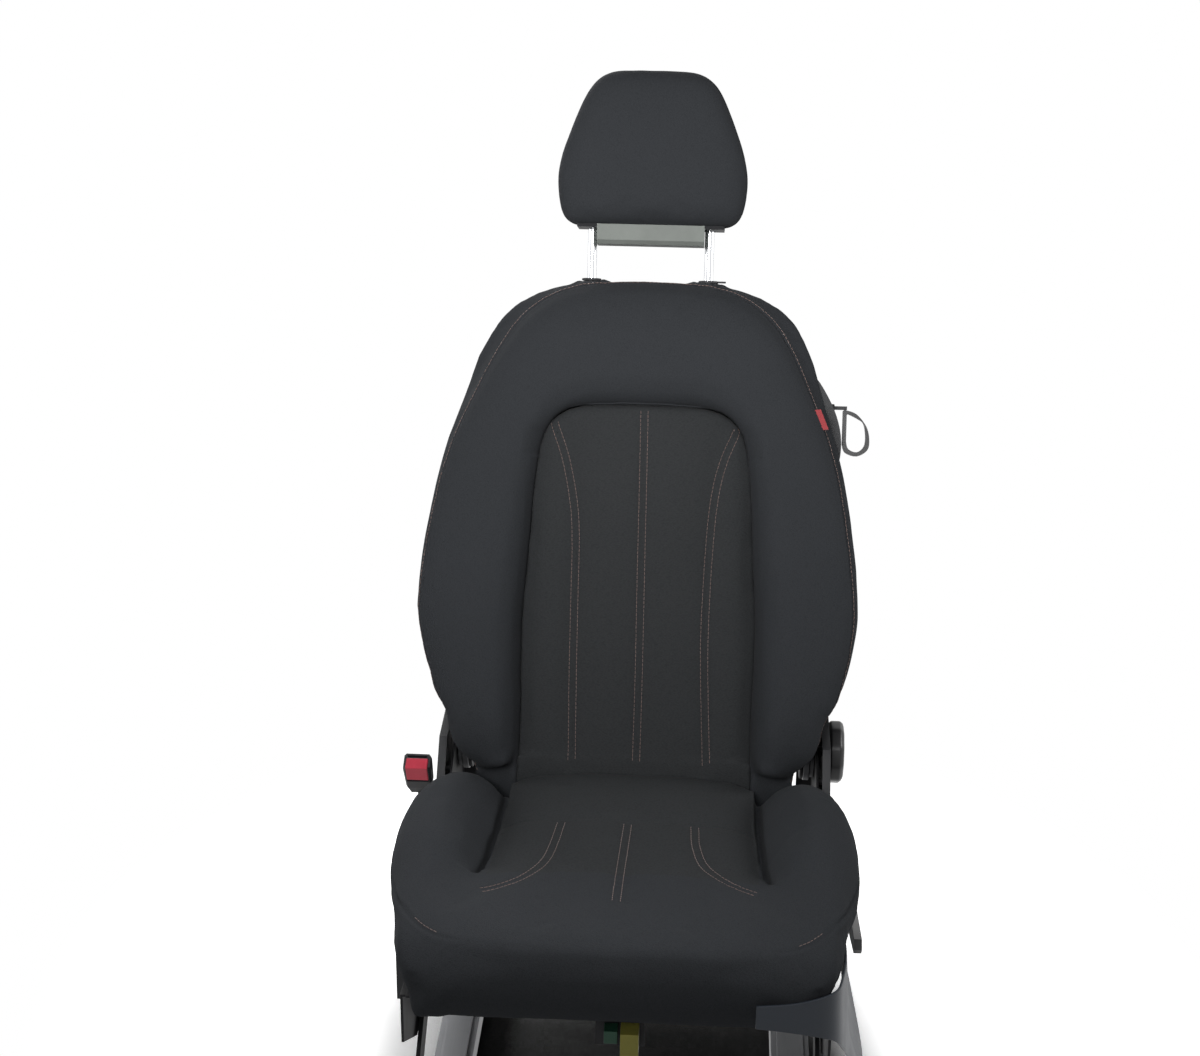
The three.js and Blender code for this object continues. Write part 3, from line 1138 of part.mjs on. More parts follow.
function seamTag() {
  const { seam } = horseshoeSection(0.605);
  const root = onFrame(seam, 1);
  const along = onFrame(horseshoeSection(0.62).seam, 1).sub(root).normalize();
  const outward = new THREE.Vector3(Math.cos(rad(TAG.lean)), Math.sin(rad(TAG.lean)), 0);
  outward.addScaledVector(along, -outward.dot(along)).normalize();
  const normal = new THREE.Vector3().crossVectors(along, outward).normalize();
  if (normal.y > 0) normal.negate();
  root.addScaledVector(outward, TAG.width / 2 - TAG.sewn).addScaledVector(normal, TAG.proud);
  return new THREE.BoxGeometry(TAG.width, TAG.length, TAG.thickness)
    .applyMatrix4(new THREE.Matrix4().makeBasis(outward, along, normal).setPosition(root));
}
add('seam_tag', seamTag(), 'tag', back);

// ---- Belt guide, fold lever --------------------------------------------------------------------

const DOME = { low: GUIDE_UP - 59, high: GUIDE_UP + 59, reach: 16, wall: 2, front: 38, rear: 14 };
const LOOP = { up: GUIDE_UP - 20, out: 10, bar: 2.4, wall: 4.2, thickness: 5, width: 34, low: 21, high: 37 };
const LOOP_PIN = { radius: 1.2, length: 12, lug: 4.5, above: 1, clear: 1.6 };
const LOOP_HINGE_X = outlineAt(LOOP.up) + DOME.wall + DOME.reach + LOOP_PIN.clear + LOOP.bar;

// A rod along the belt guide's hinge, between two heights up the backrest
function hingeRod(low, high, radius) {
  return rod(new THREE.Vector3(LOOP_HINGE_X, -LOOP.out, low),
    new THREE.Vector3(LOOP_HINGE_X, -LOOP.out, high), radius, 12);
}

// A dome on the bolster's side, with a lug over the loop that holds its hinge pin
function guideHousing() {
  const count = 14;
  const inner = steps(count).map((u) => DOME.low + u * (DOME.high - DOME.low))
    .map((z) => [outlineAt(z) + 0.1, z]);
  const bulge = (i) => DOME.wall + DOME.reach * Math.sin(Math.PI * i / count) ** 0.8;
  const outer = inner.map(([x, z], i) => [x + bulge(i), z]);
  const dome = plateY([...outer, ...inner.reverse()], -DOME.front, DOME.rear);
  const low = LOOP.up + LOOP.high + LOOP_PIN.above;
  const half = LOOP.thickness / 2;
  const lug = box(LOOP_HINGE_X - LOOP.bar - 16, LOOP_HINGE_X + LOOP.bar, -LOOP.out - half,
    -LOOP.out + half, low, low + LOOP_PIN.lug);
  return join(dome, lug, hingeRod(low - LOOP_PIN.length, low + 1, LOOP_PIN.radius));
}
add('belt_guide_housing', guideHousing(), 'plastic', back);

function beltLoop() {
  const shape = (wall) => {
    const left = LOOP_HINGE_X - LOOP.bar + wall;
    const right = LOOP_HINGE_X - LOOP.bar + LOOP.width - wall;
    const middle = (left + right) / 2 + 2;
    const half = (right - left) / 2;
    const low = LOOP.up - LOOP.low + wall;
    const high = LOOP.up + LOOP.high - wall;
    const curve = new THREE.SplineCurve([
      [left, low + 14], [left + 0.25 * half, low + 4], [middle, low], [right - 0.12 * half, low + 8],
      [right, low + 22], [right - 0.25 * half, low + 38], [middle - 0.1 * half, high - 5],
      [left + 0.2 * half, high], [left, high - 1],
    ].map(([x, z]) => new THREE.Vector2(x, z)));
    return curve.getPoints(32).map((p) => [p.x, p.y]);
  };
  const ring = plateY(shape(0), -(LOOP.out + LOOP.thickness / 2), -(LOOP.out - LOOP.thickness / 2),
    [shape(LOOP.wall)]);
  const top = LOOP.up + LOOP.high;
  return cut(ring, hingeRod(top + LOOP_PIN.above - LOOP_PIN.length - GAP, top + 2,
    LOOP_PIN.radius + GAP));
}
add('belt_guide_loop', beltLoop(), 'gloss', back);

const FOLD_LEVER = { low: GUIDE_UP - 21, high: GUIDE_UP + 27, thickness: 10, width: 9 };

function foldLever() {
  const near = DOME.rear + GAP;
  const far = near + FOLD_LEVER.thickness;
  const [low, high] = [FOLD_LEVER.low, FOLD_LEVER.high];
  const middle = (near + far) / 2;
  const outline = [...circle(middle, low, FOLD_LEVER.thickness / 2, 8, 180, 360),
    [far, high - 12], [far + 5, high - 3], [far + 3, high], [near + 2, high]];
  const x = outlineAt(low) + 1;
  return plateX(outline, x, x + FOLD_LEVER.width);
}
add('fold_lever', foldLever(), 'gloss', back);

// ---- Head restraint ----------------------------------------------------------------------------

const HEAD_BUTTON = { length: 12, width: 9, height: 2, travel: 3 };
const TAB_START = POST_SPACING / 2 + SLEEVE_RADIUS + 1;

function postSleeve(sign) {
  const x = sign * POST_SPACING / 2;
  const at = (z) => new THREE.Vector3(x, 0, z);
  const collar = rod(at(SLEEVE_TOP - 0.5), at(SLEEVE_TOP + COLLAR_HEIGHT), COLLAR_RADIUS, 24);
  const sleeve = rod(at(-SLEEVE_DEPTH), at(SLEEVE_TOP), SLEEVE_RADIUS, 16);
  const bore = rod(at(-SLEEVE_DEPTH - 1), at(SLEEVE_TOP + COLLAR_HEIGHT + 1), POST_RADIUS + GAP, 16);
  const half = HEAD_BUTTON.width / 2 + GAP;
  const notch = box(TAB_START - HEAD_BUTTON.travel - 0.4, TAB_START + COLLAR_RADIUS, -half, half,
    SLEEVE_TOP, SLEEVE_TOP + COLLAR_HEIGHT + 1);
  return sign > 0 ? cut(join(sleeve, collar), bore, notch) : cut(join(sleeve, collar), bore);
}

function headPost(sign) {
  const x = sign * POST_SPACING / 2;
  return rod(new THREE.Vector3(x, 0, -POST_DEPTH), new THREE.Vector3(x, 0, POST_TOP), POST_RADIUS, 20);
}

for (const [side, sign] of Object.entries(SIDES)) {
  add(`post_sleeve_${side}`, postSleeve(sign), 'plastic', head);
  add(`head_post_${side}`, headPost(sign), 'chrome', head);
}

// The release tab slides in through a notch in the outboard sleeve's collar
add('head_release_button', box(TAB_START, TAB_START + HEAD_BUTTON.length, -HEAD_BUTTON.width / 2,
  HEAD_BUTTON.width / 2, SLEEVE_TOP + GAP, SLEEVE_TOP + GAP + HEAD_BUTTON.height), 'plastic', head);

// Rows up the pad: height, half-width, front and rear, as shares
const HEAD_ROWS = [
  [0, 0.8, 0.72, 0.6], [0.03, 0.9, 0.88, 0.82], [0.1, 0.965, 1, 0.98], [0.22, 1, 1, 1],
  [0.35, 1, 1, 1], [0.48, 0.957, 1, 1], [0.6, 0.89, 0.99, 0.98], [0.72, 0.815, 0.97, 0.95],
  [0.84, 0.73, 0.91, 0.86], [0.93, 0.635, 0.8, 0.66], [0.985, 0.51, 0.62, 0.36], [1, 0.4, 0.48, 0.12],
];

// The moulded base under the pad, between the posts
function headBase() {
  const half = POST_SPACING / 2 - POST_RADIUS - 0.6;
  const top = HEAD_BOTTOM - GAP;
  const low = HEAD_BOTTOM - HEAD_BASE_DROP;
  const body = plateX([[-34, top], [-30, low + 5], [-24, low], [14, low], [20, low + 6], [22, top]],
    -half, half);
  const wing = HEAD_HALF_WIDTH * HEAD_ROWS[0][1] - 3;
  const shell = plateX([[-34, top], [-31, top - HEAD_SHELL], [17, top - HEAD_SHELL], [20, top]],
    -wing, wing);
  const bore = (sign) => rod(new THREE.Vector3(sign * POST_SPACING / 2, 0, low),
    new THREE.Vector3(sign * POST_SPACING / 2, 0, top + 1), POST_RADIUS + GAP, 20);
  return cut(join(body, shell), bore(1), bore(-1));
}
add('head_base', headBase(), 'grey', head);

function headPad() {
  const ring = (t) => {
    const [rise, wide, front, rear] = smooth(HEAD_ROWS, t);
    const z = HEAD_BOTTOM + rise * HEAD_HEIGHT;
    return steps(35).map((u) => {
      const angle = 2 * Math.PI * u * 35 / 36;
      const [c, s] = [Math.cos(angle), Math.sin(angle)];
      const power = 2 / 3.6;
      const x = Math.sign(c) * Math.abs(c) ** power * wide * HEAD_HALF_WIDTH;
      const deep = s < 0 ? front * HEAD_FRONT : rear * HEAD_REAR;
      const arch = s < 0 ? 8 * (x / HEAD_HALF_WIDTH) ** 2 : 0;
      return new THREE.Vector3(x, Math.sign(s) * Math.abs(s) ** power * deep + arch, z);
    });
  };
  const bore = (sign) => rod(new THREE.Vector3(sign * POST_SPACING / 2, 0, HEAD_BOTTOM - 5),
    new THREE.Vector3(sign * POST_SPACING / 2, 0, POST_TOP + GAP), POST_RADIUS + GAP, 20);
  return cut(loft(steps(20).map(ring)), bore(1), bore(-1));
}
add('head_pad', headPad(), 'cloth', head);

export default seat;
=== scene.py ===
"""A sports-style front car seat: upholstery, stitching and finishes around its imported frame."""

import json
import math

import bmesh
import bpy
import numpy as np
from bpy.props import FloatProperty, FloatVectorProperty, IntProperty, PointerProperty
from mathutils import Matrix, Vector
from mathutils.bvhtree import BVHTree
from mathutils.kdtree import KDTree

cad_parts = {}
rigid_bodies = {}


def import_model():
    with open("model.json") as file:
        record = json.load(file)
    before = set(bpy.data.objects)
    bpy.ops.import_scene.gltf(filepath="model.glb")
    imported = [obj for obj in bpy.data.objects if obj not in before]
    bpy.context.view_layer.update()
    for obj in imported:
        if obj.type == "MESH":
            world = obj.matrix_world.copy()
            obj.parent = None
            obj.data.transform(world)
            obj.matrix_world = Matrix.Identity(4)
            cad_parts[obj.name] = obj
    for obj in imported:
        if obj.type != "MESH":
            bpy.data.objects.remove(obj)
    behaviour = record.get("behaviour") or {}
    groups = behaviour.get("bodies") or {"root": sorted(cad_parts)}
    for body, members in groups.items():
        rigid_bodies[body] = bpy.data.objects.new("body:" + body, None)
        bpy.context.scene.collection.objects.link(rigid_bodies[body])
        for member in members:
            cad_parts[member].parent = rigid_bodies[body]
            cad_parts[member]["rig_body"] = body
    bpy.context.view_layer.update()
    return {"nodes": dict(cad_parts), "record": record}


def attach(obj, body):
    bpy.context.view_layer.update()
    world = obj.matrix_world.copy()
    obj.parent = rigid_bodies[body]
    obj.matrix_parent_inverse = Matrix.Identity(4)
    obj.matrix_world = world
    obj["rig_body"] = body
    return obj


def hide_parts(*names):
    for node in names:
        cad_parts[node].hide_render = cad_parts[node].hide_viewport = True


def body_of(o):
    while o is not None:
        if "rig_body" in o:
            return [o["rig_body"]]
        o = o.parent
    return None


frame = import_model()
NODES = frame["nodes"]

bl_info = {
    "name": "Sports front seat",
    "version": (1, 0, 0),
    "blender": (4, 5, 0),
    "location": "3D View > Sidebar > Seat",
    "description": "Upholsters and finishes a front car seat around its frame",
    "category": "Object",
}

MM = 0.001
SIDES = {"inboard": -1, "outboard": 1}

# Metres from the seat's middle where the floor's shading under it, real shadow and painted shade, begins
# and stops to fade out
SHADOW_REACH = (0.40, 0.78)

# The camera: its place in metres, its yaw, pitch and roll in degrees, and its focal length
CAMERA_PLACE, CAMERA_TURN = (0.080, -2.3242, 1.65035), (3.03, 22.96, 0.60)
SENSOR, FOCAL_PIXELS, PICTURE_WIDTH = 36, 2145.94, 1200

# The part's own places, repeated from its source in metres
RECLINER = Vector((0, 0.140, 0.300))
BACK_ANGLE = math.radians(23)
CUSHION_ANGLE = math.radians(7)
HEAD_LEAN = math.radians(3.5)
BACK_FACE = 0.100
POST_SPACING = 0.150
POST_EXIT = (0, -0.0385, 0.5975)

BACK = Matrix.Translation(RECLINER) @ Matrix.Rotation(-BACK_ANGLE, 4, "X")
MEETING = BACK @ Vector((0, -BACK_FACE, -0.027))
CUSHION = Matrix.Translation(MEETING) @ Matrix.Rotation(-CUSHION_ANGLE, 4, "X")
HEAD = BACK @ Matrix.Translation(POST_EXIT) @ Matrix.Rotation(HEAD_LEAN, 4, "X")


def on_back(x, up, out):
    """A place across, up and out of the backrest, given in millimetres."""
    return BACK @ (Vector((x, -out, up)) * MM)


def on_cushion(x, along, above):
    """A place across, along and above the cushion, given in millimetres."""
    return CUSHION @ (Vector((x, -along, above)) * MM)


# ---- Settings ----------------------------------------------------------------------------------


def colour(name, text, value):
    return FloatVectorProperty(
        name=name, description=text, default=value, size=3, subtype="COLOR", min=0, max=1)


class SeatCloth(bpy.types.PropertyGroup):
    bolster: colour(
        "Bolster cloth", "Colour of the bolsters and the head restraint", (0.033, 0.0352, 0.0388))
    insert: colour("Insert cloth", "Colour of the centre panels", (0.0325, 0.0342, 0.0358))
    thread: colour("Thread", "Colour of the topstitching", (0.16, 0.098, 0.082))
    tag: colour("Seam tag", "Colour of the tag sewn into the side seam", (0.40, 0.022, 0.030))
    swell: FloatProperty(
        name="Swell", description="Most that the filling pushes a cover out", default=0.003,
        min=0, max=0.02, unit="LENGTH")
    pressure: FloatProperty(
        name="Filling pressure", description="Pressure inside a cover while it swells", default=4,
        min=0, max=20)
    frames: IntProperty(
        name="Settling frames", description="Steps of the cloth simulation", default=14,
        min=2, max=60)


class SeatStitching(bpy.types.PropertyGroup):
    pitch: FloatProperty(
        name="Stitch pitch", description="From one stitch to the next", default=0.0052,
        min=0.002, max=0.02, unit="LENGTH")
    length: FloatProperty(
        name="Stitch length", description="Length of the thread that shows", default=0.0047,
        min=0.001, max=0.02, unit="LENGTH")
    thickness: FloatProperty(
        name="Thread", description="Thickness of the thread", default=0.0008,
        min=0.0003, max=0.003, unit="LENGTH")
    spacing: FloatProperty(
        name="Row spacing", description="Between the two rows beside a seam", default=0.0092,
        min=0.002, max=0.03, unit="LENGTH")


class SeatTrim(bpy.types.PropertyGroup):
    moulding: colour("Covers", "Colour of the grained covers", (0.021, 0.0215, 0.0235))
    valance: colour("Valance", "Colour of the side valance", (0.014, 0.018, 0.025))
    base: colour("Head base", "Colour of the moulding under the head restraint", (0.19, 0.205, 0.19))
    button: colour("Buckle button", "Colour of the buckle's release button", (0.56, 0.045, 0.075))
    steel: colour("Painted steel", "Colour of the painted frame", (0.010, 0.010, 0.011))


class SeatStudio(bpy.types.PropertyGroup):
    key: FloatProperty(
        name="High front lamp", description="Power of the lamp above the camera", default=6,
        min=0, unit="POWER")
    top: FloatProperty(
        name="Overhead lamp", description="Power of the lamp above the seat", default=1.1, min=0,
        unit="POWER")
    round: FloatProperty(
        name="Side and rear lamps",
        description="Power of the lamp behind the seat; the sides get less",
        default=19, min=0, unit="POWER")
    sky: FloatProperty(
        name="Room light", description="Strength of the even light of the room", default=0.04,
        min=0, max=2)


# ---- Shader expressions ------------------------------------------------------------------------


class Wire:
    """An output socket that can stand in a Python expression."""

    def __init__(self, finish, socket):
        self.finish, self.socket = finish, socket

    def maths(self, operation, *values):
        return self.finish.node("ShaderNodeMath", {"operation": operation}, dict(enumerate(values)))

    def __add__(self, other):
        return self.maths("ADD", self, other)

    def __sub__(self, other):
        return self.maths("SUBTRACT", self, other)

    def __rsub__(self, other):
        return self.maths("SUBTRACT", other, self)

    def __mul__(self, other):
        return self.maths("MULTIPLY", self, other)

    def __pow__(self, other):
        return self.maths("POWER", self, other)

    __radd__, __rmul__ = __add__, __mul__


class Tree:
    """A node tree that is written as expressions on its sockets."""

    def __init__(self, tree):
        self.tree = tree

    def node(self, kind, settings=None, values=None, output=0):
        made = self.tree.nodes.new(kind)
        for key, value in (settings or {}).items():
            if key == "stops":
                for i, (place, tone) in enumerate(value):
                    stops = made.color_ramp.elements
                    stop = stops[i] if i < len(stops) else stops.new(place)
                    stop.position, stop.color = place, (*tone, 1)
            else:
                setattr(made, key, value)
        for key, value in (values or {}).items():
            self.set(made.inputs[key], value)
        return Wire(self, made.outputs[output])

    def set(self, socket, value):
        if isinstance(value, Wire):
            self.tree.links.new(value.socket, socket)
        elif socket.type == "RGBA" and len(value) == 3:
            socket.default_value = (*value, 1)
        else:
            socket.default_value = value

    def peak(self, first, second):
        return self.node("ShaderNodeMath", {"operation": "MAXIMUM"}, {0: first, 1: second})

    def join(self, wire, name, socket=0):
        self.tree.links.new(wire.socket, self.tree.nodes[name].inputs[socket])

    def place(self, turn=0.0, scale=(1, 1, 1)):
        """Object coordinates, turned about X into the frame of the piece."""
        raw = self.node("ShaderNodeTexCoord", output="Object")
        return self.node("ShaderNodeMapping", {}, {
            "Vector": raw, "Rotation": (turn, 0, 0), "Scale": scale})

    def noise(self, vector, scale, detail=2.0, roughness=0.5):
        return self.node("ShaderNodeTexNoise", {}, {
            "Vector": vector, "Scale": scale, "Detail": detail, "Roughness": roughness})

    def cells(self, vector, scale):
        return self.node(
            "ShaderNodeTexVoronoi", {"feature": "F1"}, {"Vector": vector, "Scale": scale})

    def blend(self, factor, first, second):
        return self.node(
            "ShaderNodeMix", {"data_type": "RGBA"}, {0: factor, 6: first, 7: second}, output=2)

    def bump(self, height, distance, strength=1.0):
        return self.node("ShaderNodeBump", {}, {
            "Height": height, "Distance": distance, "Strength": strength})


class Finish(Tree):
    """A material around one Principled shader."""

    def __init__(self, name, **constants):
        self.material = bpy.data.materials.new(name)
        self.material.use_nodes = True
        super().__init__(self.material.node_tree)
        self.shader = self.tree.nodes["Principled BSDF"]
        for socket, value in constants.items():
            self.shader.inputs[socket.replace("_", " ")].default_value = value

    def feed(self, **wires):
        for socket, value in wires.items():
            self.set(self.shader.inputs[socket.replace("_", " ")], value)
        return self


def seen_ray(tree):
    """1 for what the camera sees, straight or in a mirror or through glass."""
    first, second, third = (tree.node("ShaderNodeLightPath", output=name) for name in (
        "Is Camera Ray", "Is Glossy Ray", "Is Transmission Ray"))
    return tree.peak(tree.peak(first, second), third)


def shade(tone, factor):
    return tuple(min(1.0, channel * factor) for channel in tone)


def cloth_finish(name, tone, turn, rib):
    """Close-woven seat cloth: fibres, a fine weave and a slow change of tone."""
    made = Finish(
        name, Roughness=0.9, Sheen_Weight=0.015, Sheen_Roughness=0.5, Specular_IOR_Level=0.015)
    place = made.place(turn)
    fibre = made.noise(place, 1500, 2)
    slow = made.noise(place, 7, 3)
    weave = 1 - made.cells(made.place(turn, (0.62, 1, 1.25)) if rib else place, 640 if rib else 820)
    mix = fibre * 0.55 + weave * 0.45
    tint = made.blend(mix, shade(tone, 0.62), shade(tone, 1.42))
    tint = made.blend(slow, tint, made.blend(0.16, tint, shade(tone, 1.9)))
    height = weave * 0.7 + fibre * 0.3
    return made.feed(
        Base_Color=tint, Roughness=slow * 0.12 + 0.82,
        Normal=made.bump(height, 0.00042, 0.85)).material


def thread_finish(tone):
    made = Finish("thread", Roughness=0.6, Sheen_Weight=0.3)
    grain = made.noise(made.place(), 2600, 2)
    return made.feed(
        Base_Color=made.blend(grain, shade(tone, 0.7), shade(tone, 1.25)),
        Normal=made.bump(grain, 0.0002, 0.6)).material


def tag_finish(tone):
    made = Finish("tag_cloth", Roughness=0.75, Sheen_Weight=0.2)
    weave = 1 - made.cells(made.place(BACK_ANGLE), 1100)
    return made.feed(
        Base_Color=made.blend(weave, shade(tone, 0.7), shade(tone, 1.15)),
        Normal=made.bump(weave, 0.0002, 0.7)).material


def carpet_finish(name, tone):
    """Needled felt, as on a seat's back."""
    made = Finish(name, Roughness=0.95, Sheen_Weight=0.25, Specular_IOR_Level=0.15)
    place = made.place()
    pile = made.noise(place, 900, 4, 0.7)
    slow = made.noise(place, 9, 2)
    tint = made.blend(pile * 0.8 + slow * 0.2, shade(tone, 0.5), shade(tone, 1.7))
    return made.feed(Base_Color=tint, Normal=made.bump(pile, 0.0008, 0.9)).material


def plastic_finish(name, tone, rough, grain, shine=0.22, coat=0.0):
    """Moulded plastic with a leather-like grain and faint handling marks."""
    made = Finish(name, Coat_Weight=coat, Coat_Roughness=0.16, Specular_IOR_Level=shine)
    place = made.place()
    cell = made.cells(place, 1100)
    smear = made.noise(place, 22, 4, 0.6)
    tint = made.blend(smear, shade(tone, 0.8), shade(tone, 1.3))
    wires = {"Base_Color": tint, "Roughness": smear * 0.16 + (rough - 0.08)}
    if grain:
        wires["Normal"] = made.bump(cell, 0.00035 * grain, 0.6)
    return made.feed(**wires).material


def paint_finish(name, tone):
    """Dipped black paint on pressed steel: slightly uneven, dusty in patches."""
    made = Finish(name, Specular_IOR_Level=0.15)
    place = made.place()
    peel = made.noise(place, 260, 2)
    dust = made.noise(place, 13, 5, 0.62)
    tint = made.blend(dust ** 2.0, tone, shade(tone, 3.4))
    return made.feed(
        Base_Color=tint, Roughness=dust * 0.3 + 0.45,
        Normal=made.bump(peel, 0.0002, 0.35)).material


def zinc_finish(name, tone):
    """Plated steel, drawn along its length."""
    made = Finish(name, Metallic=1.0)
    drawn = made.noise(made.place(scale=(1, 0.04, 1)), 700, 3)
    stain = made.noise(made.place(), 17, 4)
    tint = made.blend(stain, shade(tone, 0.62), tone)
    return made.feed(
        Base_Color=tint, Roughness=drawn * 0.18 + 0.34 + stain * 0.1,
        Normal=made.bump(drawn, 0.00008, 0.4)).material


def chrome_finish():
    made = Finish("chrome", Metallic=1.0)
    smear = made.noise(made.place(), 60, 3)
    return made.feed(
        Base_Color=made.blend(smear, (0.78, 0.79, 0.81), (0.9, 0.9, 0.91)),
        Roughness=smear * 0.07 + 0.03).material


# ---- Shared ways of making pieces --------------------------------------------------------------


def link(name, mesh):
    piece = bpy.data.objects.new(name, mesh)
    bpy.context.scene.collection.objects.link(piece)
    return piece


def dress(piece, material, body, slot, *nodes):
    """Gives a piece its finish, the body it rides on and the CAD nodes it stands for."""
    piece.data.materials.clear()
    piece.data.materials.append(material)
    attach(piece, body)
    if nodes:
        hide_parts(*nodes)
    return piece


def bake_modifiers(piece):
    """Turns a piece into what its modifiers make of it."""
    graph = bpy.context.evaluated_depsgraph_get()
    graph.update()
    mesh = bpy.data.meshes.new_from_object(piece.evaluated_get(graph))
    old = piece.data
    piece.modifiers.clear()
    piece.data = mesh
    bpy.data.meshes.remove(old)


def solid_copy(*nodes):
    """One bmesh of CAD solids, with their loose triangles merged."""
    shape = bmesh.new()
    for node in nodes:
        shape.from_mesh(NODES[node].data)
    bmesh.ops.remove_doubles(shape, verts=shape.verts, dist=0.01 * MM)
    return shape


def smooth_faces(mesh):
    mesh.polygons.foreach_set("use_smooth", [True] * len(mesh.polygons))


def rounded(name, nodes, width, segments=2, angle=32):
    """A CAD solid with its edges eased, as a moulding or a pressing has them."""
    shape = solid_copy(*nodes)
    bmesh.ops.dissolve_limit(
        shape, angle_limit=math.radians(0.6), verts=shape.verts, edges=shape.edges)
    mesh = bpy.data.meshes.new(name)
    shape.to_mesh(mesh)
    shape.free()
    smooth_faces(mesh)
    mesh.set_sharp_from_angle(angle=math.radians(angle))
    piece = link(name, mesh)
    ease = piece.modifiers.new("eased edges", "BEVEL")
    ease.width, ease.segments = width, segments
    ease.limit_method, ease.angle_limit = "ANGLE", math.radians(angle)
    ease.harden_normals = True
    ease.use_clamp_overlap = True
    return piece


def vertex_array(mesh, normals=False):
    values = np.empty(len(mesh.vertices) * 3, np.float32)
    if normals:
        mesh.vertex_normals.foreach_get("vector", values)
    else:
        mesh.vertices.foreach_get("co", values)
    return values.reshape(-1, 3).astype(np.float64)


def set_vertices(mesh, places):
    mesh.vertices.foreach_set("co", places.astype(np.float32).ravel())
    mesh.update()


def edge_array(mesh):
    pairs = np.empty(len(mesh.edges) * 2, np.int32)
    mesh.edges.foreach_get("vertices", pairs)
    return pairs.reshape(-1, 2)


def relax(mesh, rounds, weight=None, keep=0.0):
    """Evens out a surface; keep takes back that share of the shrinking each round."""
    places, pairs = vertex_array(mesh), edge_array(mesh)
    count = len(places)
    a, b = pairs[:, 0], pairs[:, 1]
    degree = np.bincount(a, minlength=count) + np.bincount(b, minlength=count)
    weight = np.ones(count) if weight is None else weight

    def step(points, share):
        mean = np.stack([
            np.bincount(a, points[b, k], count) + np.bincount(b, points[a, k], count)
            for k in range(3)], axis=1) / np.maximum(degree, 1)[:, None]
        return points + (mean - points) * (share * weight)[:, None]

    for _ in range(rounds):
        places = step(places, 0.5)
        if keep:
            places = step(places, -0.5 * keep)
    set_vertices(mesh, places)


def even_skin(name, nodes, voxel, rounds=5):
    """One closed skin of even faces over the CAD solids of a pad."""
    mesh = bpy.data.meshes.new(name)
    shape = solid_copy(*nodes)
    shape.to_mesh(mesh)
    shape.free()
    piece = link(name, mesh)
    remesh = piece.modifiers.new("skin", "REMESH")
    remesh.mode, remesh.voxel_size, remesh.adaptivity = "VOXEL", voxel, 0
    bake_modifiers(piece)
    relax(piece.data, rounds, keep=0.9)
    return piece


def dense(points, step=0.0006):
    """A smooth line through the points, in short equal steps."""
    rows = np.array([tuple(p) for p in points])
    rows = np.vstack([2 * rows[0] - rows[1], rows, 2 * rows[-1] - rows[-2]])
    fine = []
    for i in range(1, len(rows) - 2):
        a, b, c, d = rows[i - 1:i + 3]
        for f in np.linspace(0, 1, 24, endpoint=False):
            fine.append(b + 0.5 * ((c - a) * f + (2 * a - 5 * b + 4 * c - d) * f ** 2
                                   + (3 * b - a - 3 * c + d) * f ** 3))
    fine.append(rows[-2])
    fine = np.array(fine)
    gone = np.concatenate([[0], np.cumsum(np.linalg.norm(np.diff(fine, axis=0), axis=1))])
    stops = np.linspace(0, gone[-1], max(2, int(gone[-1] / step)))
    return np.stack([np.interp(stops, gone, fine[:, k]) for k in range(3)], axis=1)


def skin_tree(mesh):
    return BVHTree.FromPolygons(
        [v.co for v in mesh.vertices], [tuple(p.vertices) for p in mesh.polygons])


def evened(line, reach=18):
    """A line with its small bends taken out; its ends stay."""
    padded = np.vstack([np.repeat(line[:1], reach, 0), line, np.repeat(line[-1:], reach, 0)])
    total = np.cumsum(np.vstack([np.zeros((1, 3)), padded]), axis=0)
    window = 2 * reach + 1
    mean = (total[window:] - total[:-window]) / window
    share = np.clip(np.minimum(np.arange(len(line)), np.arange(len(line))[::-1]) / reach, 0, 1)
    return line + (mean - line) * share[:, None]


def dropped(mesh, points, direction=None, reach=0.08):
    """Points moved onto a skin: along a direction where one is given, else to the nearest place."""
    tree = skin_tree(mesh)
    landed = []
    for point in points:
        point = Vector(point)
        hit = None
        if direction is not None:
            hit = tree.ray_cast(point - direction * reach, direction, 2 * reach)[0]
        landed.append(hit if hit is not None else tree.find_nearest(point)[0])
    return evened(np.array([tuple(p) for p in landed]))


def wrapped(mesh, points, middles, reach=0.06):
    """Points moved onto a skin from outside, each towards its own middle."""
    tree = skin_tree(mesh)
    landed = []
    for point, middle in zip(points, middles):
        inward = (Vector(middle) - Vector(point)).normalized()
        hit = tree.ray_cast(Vector(point) - inward * reach, inward, 3 * reach)[0]
        landed.append(tuple(hit if hit is not None else tree.find_nearest(Vector(point))[0]))
    return evened(np.array(landed), 30)


def nearest(places, line, reach):
    """For the vertices within reach of a line: their numbers, the place and the distance on it."""
    low, high = line.min(0) - reach, line.max(0) + reach
    inside = np.nonzero(np.all((places > low) & (places < high), axis=1))[0]
    tree = KDTree(len(line))
    for i, point in enumerate(line):
        tree.insert(point, i)
    tree.balance()
    found = [(v, *tree.find(places[v])[1:]) for v in inside]
    found = [(v, i, gap) for v, i, gap in found if gap < reach]
    if not found:
        raise RuntimeError("a seam line lies off its pad")
    which, index, gap = (np.array(column) for column in zip(*found))
    return which.astype(int), index.astype(int), gap.astype(float)


def ripple(places, size, seed, waves=7):
    """A smooth, unpatterned change over space, from -1 to 1."""
    random = np.random.default_rng(seed)
    total = np.zeros(len(places))
    for _ in range(waves):
        direction = random.normal(size=3)
        direction /= np.linalg.norm(direction)
        total += np.sin(places @ direction * math.tau / (size * random.uniform(0.7, 1.5))
                        + random.uniform(0, math.tau))
    return total / waves


